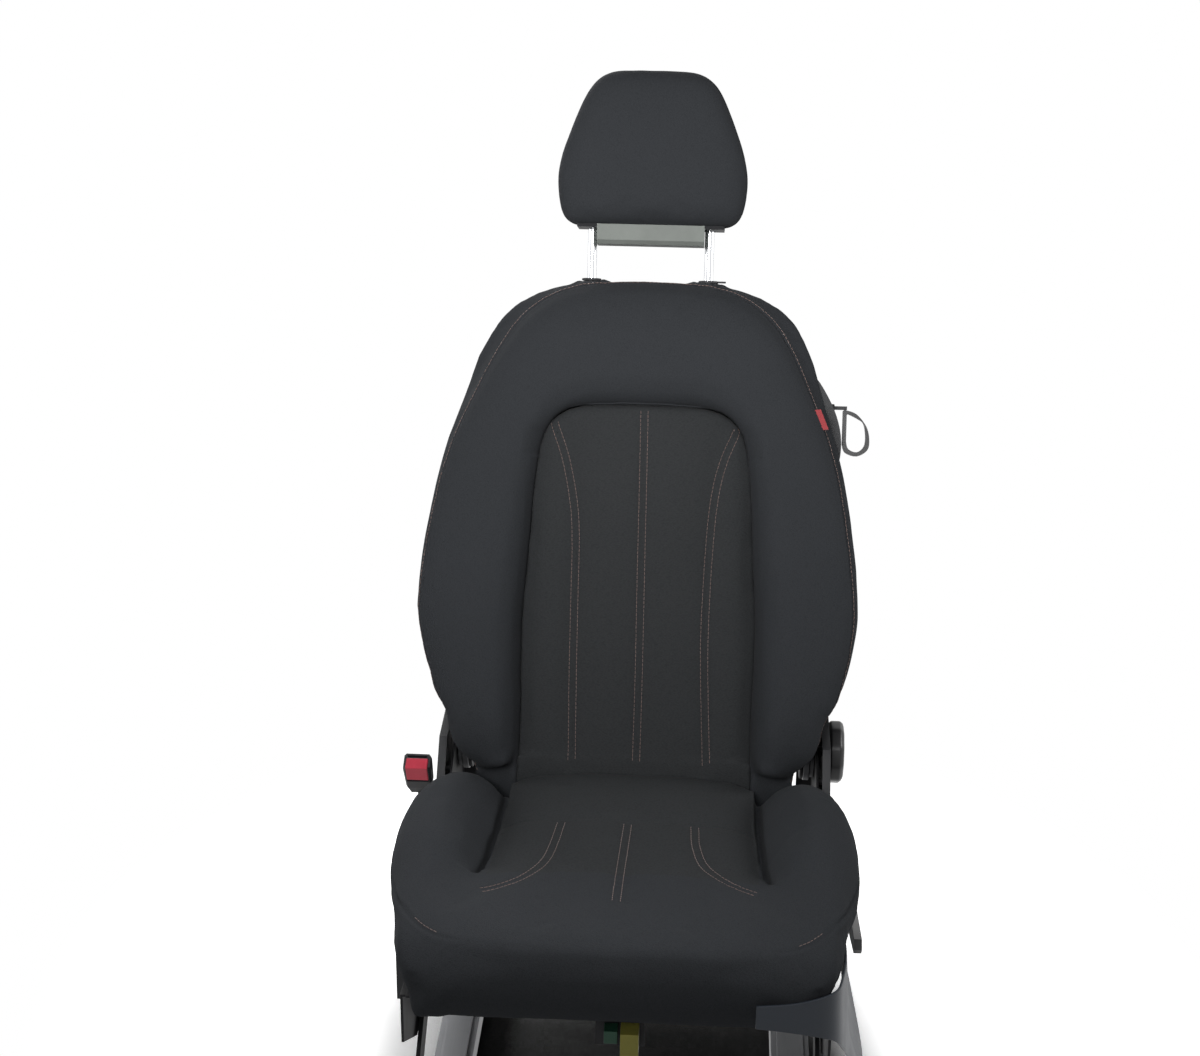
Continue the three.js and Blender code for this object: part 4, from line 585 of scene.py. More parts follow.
def sew(mesh, line, depth, width, lip=0.0, pucker=0.0, seed=1, snap=0.0016, share=None):
    """Draws a skin in along a seam, with a raised lip on both sides and puckers across it.

    share says how much of it there is at each place of the line."""
    places, normals = vertex_array(mesh), vertex_array(mesh, normals=True)
    which, index, gap = nearest(places, line, 0.022)
    offset = line[index] - places[which]
    normal = normals[which]
    flat = offset - normal * np.sum(offset * normal, axis=1)[:, None]
    pull = np.clip(1.6 - gap / snap, 0, 1) * (1 if share is None else share[index])
    places[which] += flat * pull[:, None]
    gap = gap * (1 - pull)
    along = np.concatenate([[0], np.cumsum(np.linalg.norm(np.diff(line, axis=0), axis=1))])[index]
    ends = np.minimum(along, along.max() - along)
    fade = np.clip(ends / 0.008, 0, 1)
    move = -depth * np.exp(-(gap / width) ** 2)
    move += lip * np.exp(-((gap - 2.4 * width) / (1.3 * width)) ** 2)
    if pucker:
        random = np.random.default_rng(seed)
        waves = sum(np.sin(along * math.tau / random.uniform(0.009, 0.017) + random.uniform(0, 6))
                    for _ in range(4)) / 4
        move += pucker * waves * np.exp(-(gap / 0.008) ** 2) * np.clip(gap / 0.002, 0, 1)
    if share is not None:
        fade = fade * share[index]
    places[which] += normal * (move * fade)[:, None]
    set_vertices(mesh, places)


def in_frame(mesh, place):
    """The vertices of a mesh in another frame, in millimetres."""
    inverse = np.array(place.inverted())
    return (vertex_array(mesh) @ inverse[:3, :3].T + inverse[:3, 3]) / MM


def back_to_world(mesh, local, place):
    matrix = np.array(place)
    set_vertices(mesh, (local * MM) @ matrix[:3, :3].T + matrix[:3, 3])


def swell(piece, lines, most, reach=0.006):
    """Fills a cover by cloth simulation: held along its seams, pushed out between them."""
    mesh = piece.data
    settings = bpy.context.scene.seat_cloth
    start = vertex_array(mesh)
    held = set()
    for line in lines:
        held.update(int(v) for v in nearest(start, line, reach)[0])
    group = piece.vertex_groups.new(name="sewn")
    group.add(sorted(held), 1.0, "REPLACE")
    cloth = piece.modifiers.new("filling", "CLOTH")
    cloth.settings.quality = 3
    cloth.settings.mass = 0.3
    cloth.settings.tension_stiffness = cloth.settings.compression_stiffness = 18
    cloth.settings.bending_stiffness = 2.5
    cloth.settings.use_pressure = True
    cloth.settings.uniform_pressure_force = settings.pressure
    cloth.settings.effector_weights.gravity = 0
    cloth.settings.vertex_group_mass = group.name
    cloth.collision_settings.use_collision = False
    cloth.point_cache.frame_start, cloth.point_cache.frame_end = 1, settings.frames
    scene = bpy.context.scene
    for step in range(1, settings.frames + 1):
        scene.frame_set(step)
    graph = bpy.context.evaluated_depsgraph_get()
    filled = vertex_array(piece.evaluated_get(graph).to_mesh())
    piece.modifiers.clear()
    piece.vertex_groups.clear()
    scene.frame_set(1)
    change = filled - start
    size = np.linalg.norm(change, axis=1)
    change *= (np.tanh(size / most) * most / np.maximum(size, 1e-9))[:, None]
    set_vertices(mesh, start + change)


def refine(piece):
    """One level of subdivision, taken into the mesh."""
    finer = piece.modifiers.new("finer", "SUBSURF")
    finer.levels = finer.render_levels = 1
    bake_modifiers(piece)
    smooth_faces(piece.data)


def crease_cloth(mesh, size, height, seed):
    """The slack that a worn cover has: long soft waves and a few smaller ones."""
    places, normals = vertex_array(mesh), vertex_array(mesh, normals=True)
    move = height * (ripple(places, size, seed) + 0.45 * ripple(places, size * 0.38, seed + 1))
    set_vertices(mesh, places + normals * move[:, None])


def stitches(name, rows, mesh):
    """Rows of thread on a skin: one short rounded stitch after another."""
    settings = bpy.context.scene.seat_stitching
    tree = skin_tree(mesh)
    shape = bmesh.new()
    for row in rows:
        gone = np.concatenate([[0], np.cumsum(np.linalg.norm(np.diff(row, axis=0), axis=1))])
        for start in np.arange(settings.pitch, gone[-1] - settings.pitch, settings.pitch):
            ends = [Vector([np.interp(start + shift, gone, row[:, k]) for k in range(3)])
                    for shift in (0, settings.length)]
            (a, up_a), (b, up_b) = (tree.find_nearest(end)[:2] for end in ends)
            run = b - a
            if run.length < 0.3 * settings.length:
                continue
            up = (up_a + up_b).normalized()
            side = up.cross(run).normalized()
            up = run.normalized().cross(side).normalized() * -1
            if up.dot(up_a) < 0:
                up.negate()
            turn = Matrix((side, up, run.normalized())).transposed().to_4x4()
            turn.translation = (a + b) / 2 + up * (0.18 * settings.thickness)
            scale = Matrix.Diagonal(
                (settings.thickness / 2, settings.thickness / 2, run.length / 2, 1))
            bmesh.ops.create_uvsphere(
                shape, u_segments=6, v_segments=5, radius=1, matrix=turn @ scale)
    bmesh.ops.recalc_face_normals(shape, faces=shape.faces)
    made = bpy.data.meshes.new(name)
    shape.to_mesh(made)
    shape.free()
    smooth_faces(made)
    return link(name, made)


def beside(line, mesh, shift):
    """A line moved sideways over a skin."""
    tree = skin_tree(mesh)
    moved = []
    for i, point in enumerate(line):
        run = Vector(line[min(i + 4, len(line) - 1)] - line[max(i - 4, 0)]).normalized()
        normal = tree.find_nearest(Vector(point))[1]
        moved.append(tuple(tree.find_nearest(Vector(point) + run.cross(normal) * shift)[0]))
    return np.array(moved)


# ---- Seam lines, in millimetres ----------------------------------------------------------------

BACK_HEIGHT = 599
BACK_HALF_WIDTH = 271

# Up the backrest: half-width and height of the front edge seam as shares, then the crest's share
EDGE_SEAM = [
    (0.70, -0.045, 0.42), (0.82, 0.0, 0.66), (0.865, 0.05, 0.88), (0.93, 0.12, 1), (0.968, 0.25, 1),
    (0.955, 0.375, 0.98), (0.925, 0.475, 0.9), (0.886, 0.575, 0.72), (0.834, 0.668, 0.5),
    (0.764, 0.751, 0.3), (0.668, 0.851, 0.12), (0.57, 0.918, 0.05), (0.41, 0.968, 0.02),
    (0.215, 0.987, 0), (0, 0.991, 0),
]
CREST, CREST_RISE, SEAM_DROP, SEAM_ROLL = 112, 45, 27, 16
# How far the cloth of each side stands out, the roll over the insert and the gathers at the posts
SIDE_SWELL = {"inboard": 12, "outboard": 5}
INSERT_TOP, ROLL_REACH, ROLL_DEPTH = 434, 20, 9
GATHER = 5
# Across and up the backrest: the seams that cross its insert
INSERT_SEAMS = [
    [(-118, 421), (-100, 377), (-88, 327), (-82, 277), (-81, 189), (-80, 90), (-78, -14)],
    [(0, 434), (1, 330), (2, 200), (3, 90), (3, -14)],
    [(121, 415), (102, 371), (91, 320), (86, 245), (84, 144), (87, 60), (91, -14)],
]
# Across and along the cushion
CUSHION_SEAMS = [
    [(-79, 152), (-80, 168), (-83, 211), (-90, 267), (-108, 310), (-130, 333), (-158, 349)],
    [(0, 152), (-1, 200), (-3, 296), (-4, 366)],
    [(79, 152), (80, 168), (81, 207), (91, 264), (113, 302), (131, 317), (153, 331)],
]
CROSS_SEAM = [(-150, 150), (-75, 151), (0, 152), (75, 151), (150, 150)]
CREASE = [(154, 4), (154, 76), (154, 128), (156, 171), (157, 214), (162, 262), (168, 300)]
HOLLOW, LIP = 24, 19
# Across, along and above the cushion: the seam between its top and its sides
EDGE_OF_CUSHION = [
    (222, 18, -24), (244, 60, -22), (262, 120, -20), (270, 180, -19), (270, 240, -17),
    (264, 300, -13), (254, 345, -9), (241, 376, -5), (228, 404, -4), (216, 425, -6), (203, 440, -8),
    (188, 449, -9), (151, 459, -8), (119, 462, -8), (66, 465, -9), (0, 466, -9),
]


# Across, behind and along the posts: the seam round each side of the head restraint
HEAD_SEAM = [
    (90, 16, 76), (112, 16, 90), (120, 15, 130), (118, 15, 170), (106, 15, 205), (84, 14, 240),
    (60, 12, 262),
]


def mirrored(half):
    """A line given for the outboard half, carried over to the inboard end."""
    return [(-x, *rest) for x, *rest in half] + [tuple(p) for p in reversed(half)][1:]


def edge_seam():
    half = [(x * BACK_HALF_WIDTH, up * BACK_HEIGHT,
             CREST + crest * CREST_RISE - SEAM_DROP - (1 - crest) * SEAM_ROLL)
            for x, up, crest in EDGE_SEAM]
    return dense([on_back(*p) for p in mirrored(half)])


# ---- Operators ---------------------------------------------------------------------------------


class SEAT_OT_backrest_cover(bpy.types.Operator):
    """Bolsters and shoulder as one sewn cover around the insert"""

    bl_idname = "seat.backrest_cover"
    bl_label = "Backrest cover"

    def execute(self, context):
        settings = context.scene.seat_cloth
        nodes = ["back_bolster_inboard", "back_bolster_outboard", "back_shoulder_pad"]
        piece = even_skin("backrest_cover", nodes, 5.5 * MM, 7)
        seam = dropped(piece.data, edge_seam())
        swell(piece, [seam], settings.swell)
        refine(piece)
        relax(piece.data, 2, keep=0.9)
        self.shape_sides(piece.data)
        self.roll_inner_edge(piece.data)
        self.gather_at_posts(piece.data)
        crease_cloth(piece.data, 0.085, 0.0005, 11)
        seam = dropped(piece.data, seam)
        row = evened(beside(seam, piece.data, -4.2 * MM))
        sew(piece.data, seam, 2.6 * MM, 2.2 * MM, 0.7 * MM, 0.3 * MM, 3)
        cloth = cloth_finish("bolster_cloth_sewn", settings.bolster, BACK_ANGLE, False)
        dress(piece, cloth, "backrest", "bolster_cloth", *nodes)
        thread = stitches("backrest_edge_stitching", [row], piece.data)
        dress(thread, bpy.data.materials["thread"], "backrest", "bolster_cloth")
        return {"FINISHED"}

    def shape_sides(self, mesh):
        """The sides stand out a little more, and taper smoothly above the recliner covers."""
        local = in_frame(mesh, BACK)
        side, up, out = np.abs(local[:, 0]), local[:, 2], -local[:, 1]
        step = np.exp(-((up - 62) / 34) ** 2) * np.clip((side - 205) / 20, 0, 1)
        step *= np.clip(out / 40, 0, 1)
        relax(mesh, 120, np.clip(step * 1.4, 0, 1))
        local = in_frame(mesh, BACK)
        side, up = np.abs(local[:, 0]), local[:, 2]
        more = np.where(local[:, 0] < 0, SIDE_SWELL["inboard"], SIDE_SWELL["outboard"])
        more = more * np.clip((up - 95) / 80, 0, 1) * np.clip((560 - up) / 60, 0, 1)
        more *= np.clip((side - 170) / 70, 0, 1)
        local[:, 0] += np.sign(local[:, 0]) * more
        back_to_world(mesh, local, BACK)

    def roll_inner_edge(self, mesh):
        """Over the insert the shoulder's edge turns in with a wide soft roll."""
        local = in_frame(mesh, BACK)
        side, up, out = np.abs(local[:, 0]), local[:, 2], -local[:, 1]
        corner = np.clip((side - 60) / 60, 0, 1)
        edge = INSERT_TOP - 34 * corner ** 2
        above = np.clip((up - edge) / ROLL_REACH, 0, 1)
        depth = ROLL_DEPTH * (1 - above) ** 2 * (out > 88) * (up > edge - 30)
        depth *= np.clip((150 - side) / 30, 0, 1)
        local[:, 1] += depth
        back_to_world(mesh, local, BACK)

    def gather_at_posts(self, mesh):
        """The cloth stands up in small folds round each post of the head restraint."""
        local = in_frame(mesh, HEAD)
        for sign in SIDES.values():
            across, along = local[:, 0] - sign * POST_SPACING / MM / 2, local[:, 1]
            gap, turn = np.hypot(across, along), np.arctan2(along, across)
            near = (local[:, 2] > -40) * np.exp(-(np.clip(gap - 17, 0, 99) / 9) ** 2)
            folds = 0.8 * np.cos(9 * turn + sign) * np.exp(-((gap - 24) / 13) ** 2)
            local[:, 2] += near * GATHER + folds * (local[:, 2] > -40)
        back_to_world(mesh, local, HEAD)


class SEAT_OT_backrest_insert(bpy.types.Operator):
    """The recessed centre of the backrest, with three double-stitched seams"""

    bl_idname = "seat.backrest_insert"
    bl_label = "Backrest insert"

    def execute(self, context):
        settings = context.scene.seat_cloth
        piece = even_skin("backrest_insert", ["back_centre_pad"], 4.2 * MM, 6)
        inward = BACK.to_3x3() @ Vector((0, 1, 0))
        lines = [dropped(piece.data, dense([on_back(x, up, 101) for x, up in seam]), inward)
                 for seam in INSERT_SEAMS]
        swell(piece, lines, settings.swell)
        refine(piece)
        crease_cloth(piece.data, 0.07, 0.00035, 21)
        lines = [dropped(piece.data, line, inward) for line in lines]
        spacing = context.scene.seat_stitching.spacing / 2
        rows = [beside(line, piece.data, shift) for line in lines for shift in (-spacing, spacing)]
        for i, line in enumerate(lines):
            sew(piece.data, line, 1.1 * MM, 1.3 * MM, 0.0, 0.35 * MM, 30 + i)
        for i, row in enumerate(rows):
            sew(piece.data, row, 0.7 * MM, 1.5 * MM, 0.0, 0.25 * MM, 40 + i, snap=0.0001)
        cloth = cloth_finish("insert_cloth_sewn", settings.insert, BACK_ANGLE, True)
        dress(piece, cloth, "backrest", "insert_cloth", "back_centre_pad")
        thread = stitches("backrest_insert_stitching", rows, piece.data)
        dress(thread, bpy.data.materials["thread"], "backrest", "insert_cloth")
        return {"FINISHED"}


class SEAT_OT_cushion_cover(bpy.types.Operator):
    """The cushion as one sewn cover: bolsters, insert and front edge"""

    bl_idname = "seat.cushion_cover"
    bl_label = "Cushion cover"

    def execute(self, context):
        settings = context.scene.seat_cloth
        nodes = ["seat_centre_pad", "seat_bolster_inboard", "seat_bolster_outboard"]
        piece = even_skin("cushion_cover", nodes, 5.2 * MM, 6)
        self.fill_front(piece.data)
        down = CUSHION.to_3x3() @ Vector((0, 0, -1))

        def on_top(points):
            return dropped(piece.data, dense([on_cushion(x, s, 10) for x, s in points]), down)

        creases = [on_top([(sign * x, s) for x, s in CREASE]) for sign in (-1, 1)]
        seams = [on_top(seam) for seam in CUSHION_SEAMS]
        cross = on_top(CROSS_SEAM)
        outline = mirrored(EDGE_OF_CUSHION)
        middles = dense([on_cushion(x * 0.7, min(s, 330), -62) for x, s, _ in outline])
        points = dense([on_cushion(*p) for p in outline])
        middles = middles[np.linspace(0, len(middles) - 1, len(points)).astype(int)]
        edge = wrapped(piece.data, points, middles)
        swell(piece, [*creases, *seams, cross, edge], settings.swell)
        refine(piece)
        self.sink_hollows(piece.data)
        self.lower_lip(piece.data)
        crease_cloth(piece.data, 0.09, 0.0006, 51)
        for i, line in enumerate(creases):
            line = dropped(piece.data, line, down)
            sew(piece.data, line, 5 * MM, 4.2 * MM, 0.4 * MM, 0.3 * MM, 60 + i)
        edge = evened(dropped(piece.data, edge), 30)
        cross = dropped(piece.data, cross, down)
        corners = [
            evened(beside(edge[(sign * edge[:, 0] > 0.19) & (sign * edge[:, 0] < 0.224)
                               & (edge[:, 1] < -0.33)], piece.data, -3.4 * MM))
            for sign in SIDES.values()]
        beside_front = np.clip((np.abs(edge[:, 0]) - 0.16) / 0.06, 0.05, 1)
        sew(piece.data, edge, 2 * MM, 2 * MM, 0.7 * MM, 0.2 * MM, 63, share=beside_front)
        sew(piece.data, cross, 2 * MM, 2 * MM, 0.4 * MM, 0.4 * MM, 64)
        seams = [dropped(piece.data, line, down) for line in seams]
        spacing = context.scene.seat_stitching.spacing / 2
        rows = [beside(line, piece.data, shift) for line in seams for shift in (-spacing, spacing)]
        for i, line in enumerate(seams):
            sew(piece.data, line, 1.1 * MM, 1.3 * MM, 0.0, 0.35 * MM, 70 + i)
        for i, row in enumerate(rows):
            sew(piece.data, row, 0.7 * MM, 1.5 * MM, 0.0, 0.25 * MM, 80 + i, snap=0.0001)
        cloth = cloth_finish("cushion_cloth_sewn", settings.bolster, CUSHION_ANGLE, False)
        dress(piece, cloth, "cushion", "bolster_cloth", *nodes)
        self.finish_insert(piece, context)
        thread = stitches("cushion_seam_stitching", rows, piece.data)
        dress(thread, bpy.data.materials["thread"], "cushion", "insert_cloth")
        thread = stitches("cushion_edge_stitching", corners, piece.data)
        dress(thread, bpy.data.materials["thread"], "cushion", "bolster_cloth")
        return {"FINISHED"}

    def sink_hollows(self, mesh):
        """Beside the insert the bolsters rise out of a deep hollow that narrows to the front."""
        local = in_frame(mesh, CUSHION)
        side, along = np.abs(local[:, 0]), -local[:, 1]
        stops = np.array(CREASE, dtype=float)
        crease = np.interp(along, stops[:, 1], stops[:, 0])
        run = np.clip((305 - along) / 90, 0, 1) * np.clip((along + 40) / 60, 0, 1)
        wide = 16 + 22 * run
        beyond = side - crease
        depth = HOLLOW * run ** 0.8 * np.exp(-(np.clip(beyond, 0, 999) / wide) ** 2)
        depth *= np.clip((beyond + 3) / 5, 0, 1) * (local[:, 2] > -45)
        local[:, 2] -= depth
        back_to_world(mesh, local, CUSHION)

    def lower_lip(self, mesh):
        """Round the front the cover is drawn down over the edge of the pan."""
        local = in_frame(mesh, CUSHION)
        side, along, above = np.abs(local[:, 0]), -local[:, 1], local[:, 2]
        beyond = np.maximum((along - 438) / 12, np.where(along > 395, (side - 229) / 10, 0))
        local[:, 2] -= LIP * np.clip(beyond, 0, 1) * np.clip((-48 - above) / 34, 0, 1)
        back_to_world(mesh, local, CUSHION)

    def fill_front(self, mesh):
        """In front of the creases the top runs on without a seam."""
        local = in_frame(mesh, CUSHION) * MM
        along, side = -local[:, 1], np.abs(local[:, 0])
        weight = np.clip((along - 0.262) / 0.05, 0, 1)
        weight *= np.clip((0.06 - np.abs(side - 0.175)) / 0.03, 0, 1) * (local[:, 2] > -0.05)
        relax(mesh, 90, weight)

    def finish_insert(self, piece, context):
        """The insert's cloth lies between the creases, the rest wears the bolsters' cloth."""
        mesh = piece.data
        settings = context.scene.seat_cloth
        mesh.materials.append(
            cloth_finish("cushion_insert_cloth", settings.insert, CUSHION_ANGLE, True))
        middles = np.empty(len(mesh.polygons) * 3)
        mesh.polygons.foreach_get("center", middles)
        inverse = np.array(CUSHION.inverted())
        local = middles.reshape(-1, 3) @ inverse[:3, :3].T + inverse[:3, 3]
        inside = (np.abs(local[:, 0]) < 0.154) & (-local[:, 1] < 0.30) & (local[:, 2] > -0.03)
        mesh.polygons.foreach_set("material_index", inside.astype(np.int32))
        mesh.update()


class SEAT_OT_head_cover(bpy.types.Operator):
    """The head restraint's padded cover, with a seam round each side"""

    bl_idname = "seat.head_cover"
    bl_label = "Head restraint cover"

    def execute(self, context):
        settings = context.scene.seat_cloth
        piece = even_skin("head_cover", ["head_pad"], 4 * MM, 8)
        seams = [
            dropped(piece.data, dense([
                HEAD @ Vector((sign * x * MM, y * MM, z * MM)) for x, y, z in HEAD_SEAM]))
            for sign in (-1, 1)]
        swell(piece, seams, settings.swell)
        refine(piece)
        self.tuck_chin(piece.data)
        crease_cloth(piece.data, 0.06, 0.0005, 91)
        for i, line in enumerate(seams):
            sew(piece.data, dropped(piece.data, line), 1.6 * MM, 1.7 * MM, 0.4 * MM, 0.3 * MM, 95 + i)
        cloth = cloth_finish("head_cloth_sewn", settings.bolster, BACK_ANGLE, False)
        dress(piece, cloth, "head_restraint", "bolster_cloth", "head_pad")
        return {"FINISHED"}

    def tuck_chin(self, mesh):
        """The front falls back to the base moulding at the bottom."""
        local = in_frame(mesh, HEAD)
        low = np.clip((CHIN_HEIGHT - local[:, 2]) / (CHIN_HEIGHT - HEAD_SHELL_LOW), 0, 1)
        local[:, 1] += CHIN_DEPTH * low ** 2 * np.clip(-local[:, 1] / 45, 0, 1)
        back_to_world(mesh, local, HEAD)


# Node, eased edge in millimetres, finish
HARD_PARTS = {
    "lower_rail": (0.5, "zinc"), "upper_rail": (0.5, "zinc"), "front_foot": (0.9, "paint"),
    "rear_foot": (0.9, "paint"), "rear_link": (0.7, "paint"), "front_link": (0.7, "paint"),
    "seat_side_member": (0.6, "paint"), "recliner_gear": (0.9, "zinc"), "fold_arm": (0.6, "paint"),
    "back_side_member": (0.6, "paint"), "post_sleeve": (0.7, "moulding"), "head_post": (1.2, "chrome"),
}
SINGLE_PARTS = {
    "rear_torque_tube": (0.5, "paint"), "front_cross_tube": (0.5, "paint"), "seat_pan": (0.5, "paint"),
    "height_pump": (0.8, "zinc"), "recliner_cross_shaft": (0.8, "paint"),
    "recliner_cover_outboard": (1.4, "moulding"), "inboard_side_cover": (1.4, "moulding"),
    "buckle_anchor_bolt": (0.6, "zinc"),
    "buckle_stalk": (1.5, "moulding"), "buckle_body": (1.3, "moulding"), "buckle_button": (1.0, "button"),
    "back_top_tube": (0.5, "paint"), "back_lower_panel": (0.5, "paint"),
    "side_airbag_module": (1.5, "felt"), "back_rear_panel": (1.1, "carpet"),
    "belt_guide_housing": (1.6, "moulding"), "belt_guide_loop": (1.5, "gloss"),
    "fold_lever": (1.6, "gloss"), "head_release_button": (0.7, "moulding"), "head_base": (3.0, "base"),
    "height_lever": (2.2, "gloss"), "recline_handwheel": (1.2, "gloss"),
    "yellow_connector": (0.8, "yellow"), "green_connector": (0.8, "green"),
    "seam_tag": (0.35, "tag_cloth"),
}
# Millimetres that a strap's surface stands proud of its solid
FATTER = {"belt_guide_loop": 0.8}
# The head restraint's base is dark above this height along the posts, in millimetres
HEAD_SHELL_LOW = 66
# The front of the head restraint's pad falls back below this height, by this much at the bottom
CHIN_HEIGHT, CHIN_DEPTH = 150, 17
AS_THEY_ARE = {"track_release_bar": "paint", "lumbar_mat": "zinc"}


class SEAT_OT_finishes(bpy.types.Operator):
    """The shared materials of thread, plastics and metals"""

    bl_idname = "seat.finishes"
    bl_label = "Finishes"

    def execute(self, context):
        trim, cloth = context.scene.seat_trim, context.scene.seat_cloth
        thread_finish(cloth.thread)
        tag_finish(cloth.tag)
        plastic_finish("moulding", trim.moulding, 0.55, 0.6, 0.3)
        plastic_finish("gloss", (0.008, 0.008, 0.009), 0.34, 0, 0.3, 0.12)
        plastic_finish("valance", trim.valance, 0.46, 0.4, 0.3)
        plastic_finish("base", trim.base, 0.6, 0.5)
        plastic_finish("button", trim.button, 0.42, 0.3)
        plastic_finish("yellow", (0.24, 0.22, 0.045), 0.45, 0)
        plastic_finish("green", (0.014, 0.05, 0.030), 0.45, 0)
        paint_finish("paint", trim.steel)
        zinc_finish("zinc", (0.13, 0.132, 0.138))
        chrome_finish()
        carpet_finish("carpet", (0.022, 0.022, 0.024))
        carpet_finish("felt", (0.05, 0.05, 0.052))
        return {"FINISHED"}


# Down each station of the valance's panel: how far outside 234 mm it is, its y and its direction,
# then the outward reach and the height of four points
VALANCE = [
    (13.7, 78, 0, (0, 262), (3, 240), (6, 215), (7, 190)),
    (16.7, 20, 0, (0, 280), (4, 230), (8, 175), (12, 130)),
    (17.7, -60, 0, (0, 264), (4, 210), (14, 130), (30, 72)),
    (18.7, -150, 0, (0, 273), (4, 210), (18, 115), (39, 46)),
    (17.7, -230, 0, (0, 282), (4, 225), (14, 140), (30, 80)),
    (17.7, -310, 12, (0, 296), (3, 258), (6, 208), (10, 158)),
    (10.7, -382, 25, (0, 314), (2, 282), (4, 250), (6, 220)),
    (-1.3, -425, 50, (0, 322), (1, 302), (2, 282), (3, 262)),
    (-38.3, -440, 76, (0, 317), (0.5, 304), (1, 291), (1.5, 279)),
    (-84.3, -442, 85, (0, 312), (0.5, 303), (1, 294), (1.5, 285)),
]
COVER_FACE = 234
VALANCE_COLUMNS, VALANCE_ROWS, VALANCE_WALL, VALANCE_EDGE = 96, 26, 3, 1.1


class SEAT_OT_valance(bpy.types.Operator):
    """The flared side panel that sweeps round under the cushion's front corner"""

    bl_idname = "seat.valance"
    bl_label = "Side valance"

    def execute(self, context):
        shape = bmesh.new()
        bmesh.ops.create_grid(
            shape, x_segments=VALANCE_COLUMNS, y_segments=VALANCE_ROWS, size=0.5)
        for vertex in shape.verts:
            vertex.co = self.place(vertex.co.x + 0.5, 0.5 - vertex.co.y)
        bmesh.ops.recalc_face_normals(shape, faces=shape.faces)
        if sum(face.normal.x for face in shape.faces) < 0:
            bmesh.ops.reverse_faces(shape, faces=shape.faces)
        bmesh.ops.solidify(shape, geom=shape.faces[:], thickness=VALANCE_WALL * MM)
        rim = [edge for edge in shape.edges if edge.calc_face_angle(0) > math.radians(50)]
        bmesh.ops.bevel(
            shape, geom=rim, offset=VALANCE_EDGE * MM, segments=2, profile=0.5, affect="EDGES",
            material=-1, clamp_overlap=True)
        mesh = bpy.data.meshes.new("outboard_valance_finished")
        shape.to_mesh(mesh)
        shape.free()
        smooth_faces(mesh)
        mesh.set_sharp_from_angle(angle=math.radians(40))
        piece = link("outboard_valance_finished", mesh)
        dress(piece, bpy.data.materials["valance"], body_of(NODES["outboard_valance"])[0],
              "valance_plastic", "outboard_valance")
        return {"FINISHED"}

    def place(self, run, down):
        """The panel's surface at a share along it and a share down it."""
        stations = np.array([
            [COVER_FACE + x, y, turn, *[v for point in points for v in point]]
            for x, y, turn, *points in VALANCE])
        at = run * (len(stations) - 1)
        values = self.smooth(stations, at)
        turn = math.radians(values[2])
        reach, height = self.smooth(values[3:].reshape(4, 2), down * 3)
        return Vector((values[0] + reach * math.cos(turn), values[1] - reach * math.sin(turn),
                       height)) * MM

    def smooth(self, table, at):
        low = min(int(at), len(table) - 2)
        f = at - low
        a, b, c, d = (table[min(max(i, 0), len(table) - 1)] for i in range(low - 1, low + 3))
        return b + 0.5 * ((c - a) * f + (2 * a - 5 * b + 4 * c - d) * f ** 2
                          + (3 * b - a - 3 * c + d) * f ** 3)


class SEAT_OT_hard_parts(bpy.types.Operator):
    """Metal and plastic parts with eased edges and their finishes"""

    bl_idname = "seat.hard_parts"
    bl_label = "Metal and plastic parts"

    def execute(self, context):
        parts = dict(SINGLE_PARTS)
        for stem, choice in HARD_PARTS.items():
            for side in SIDES:
                parts[f"{stem}_{side}"] = choice
        slots = {part["node"]: part["material_slot"] for part in frame["record"]["subparts"]}
        for node, (width, finish) in parts.items():
            piece = rounded(f"{node}_finished", [node], width * MM)
            if node in FATTER:
                piece.data.vertices.foreach_set("co", (vertex_array(piece.data) + vertex_array(
                    piece.data, normals=True) * FATTER[node] * MM).astype(np.float32).ravel())
            dress(piece, bpy.data.materials[finish], body_of(NODES[node])[0], slots[node], node)
        base = bpy.data.objects["head_base_finished"].data
        base.materials.append(bpy.data.materials["moulding"])
        for face in base.polygons:
            face.material_index = int((HEAD.inverted() @ face.center).z / MM > HEAD_SHELL_LOW)
        for node, finish in AS_THEY_ARE.items():
            piece = rounded(f"{node}_finished", [node], 0.1 * MM, 1, 60)
            dress(piece, bpy.data.materials[finish], body_of(NODES[node])[0], slots[node], node)
        return {"FINISHED"}


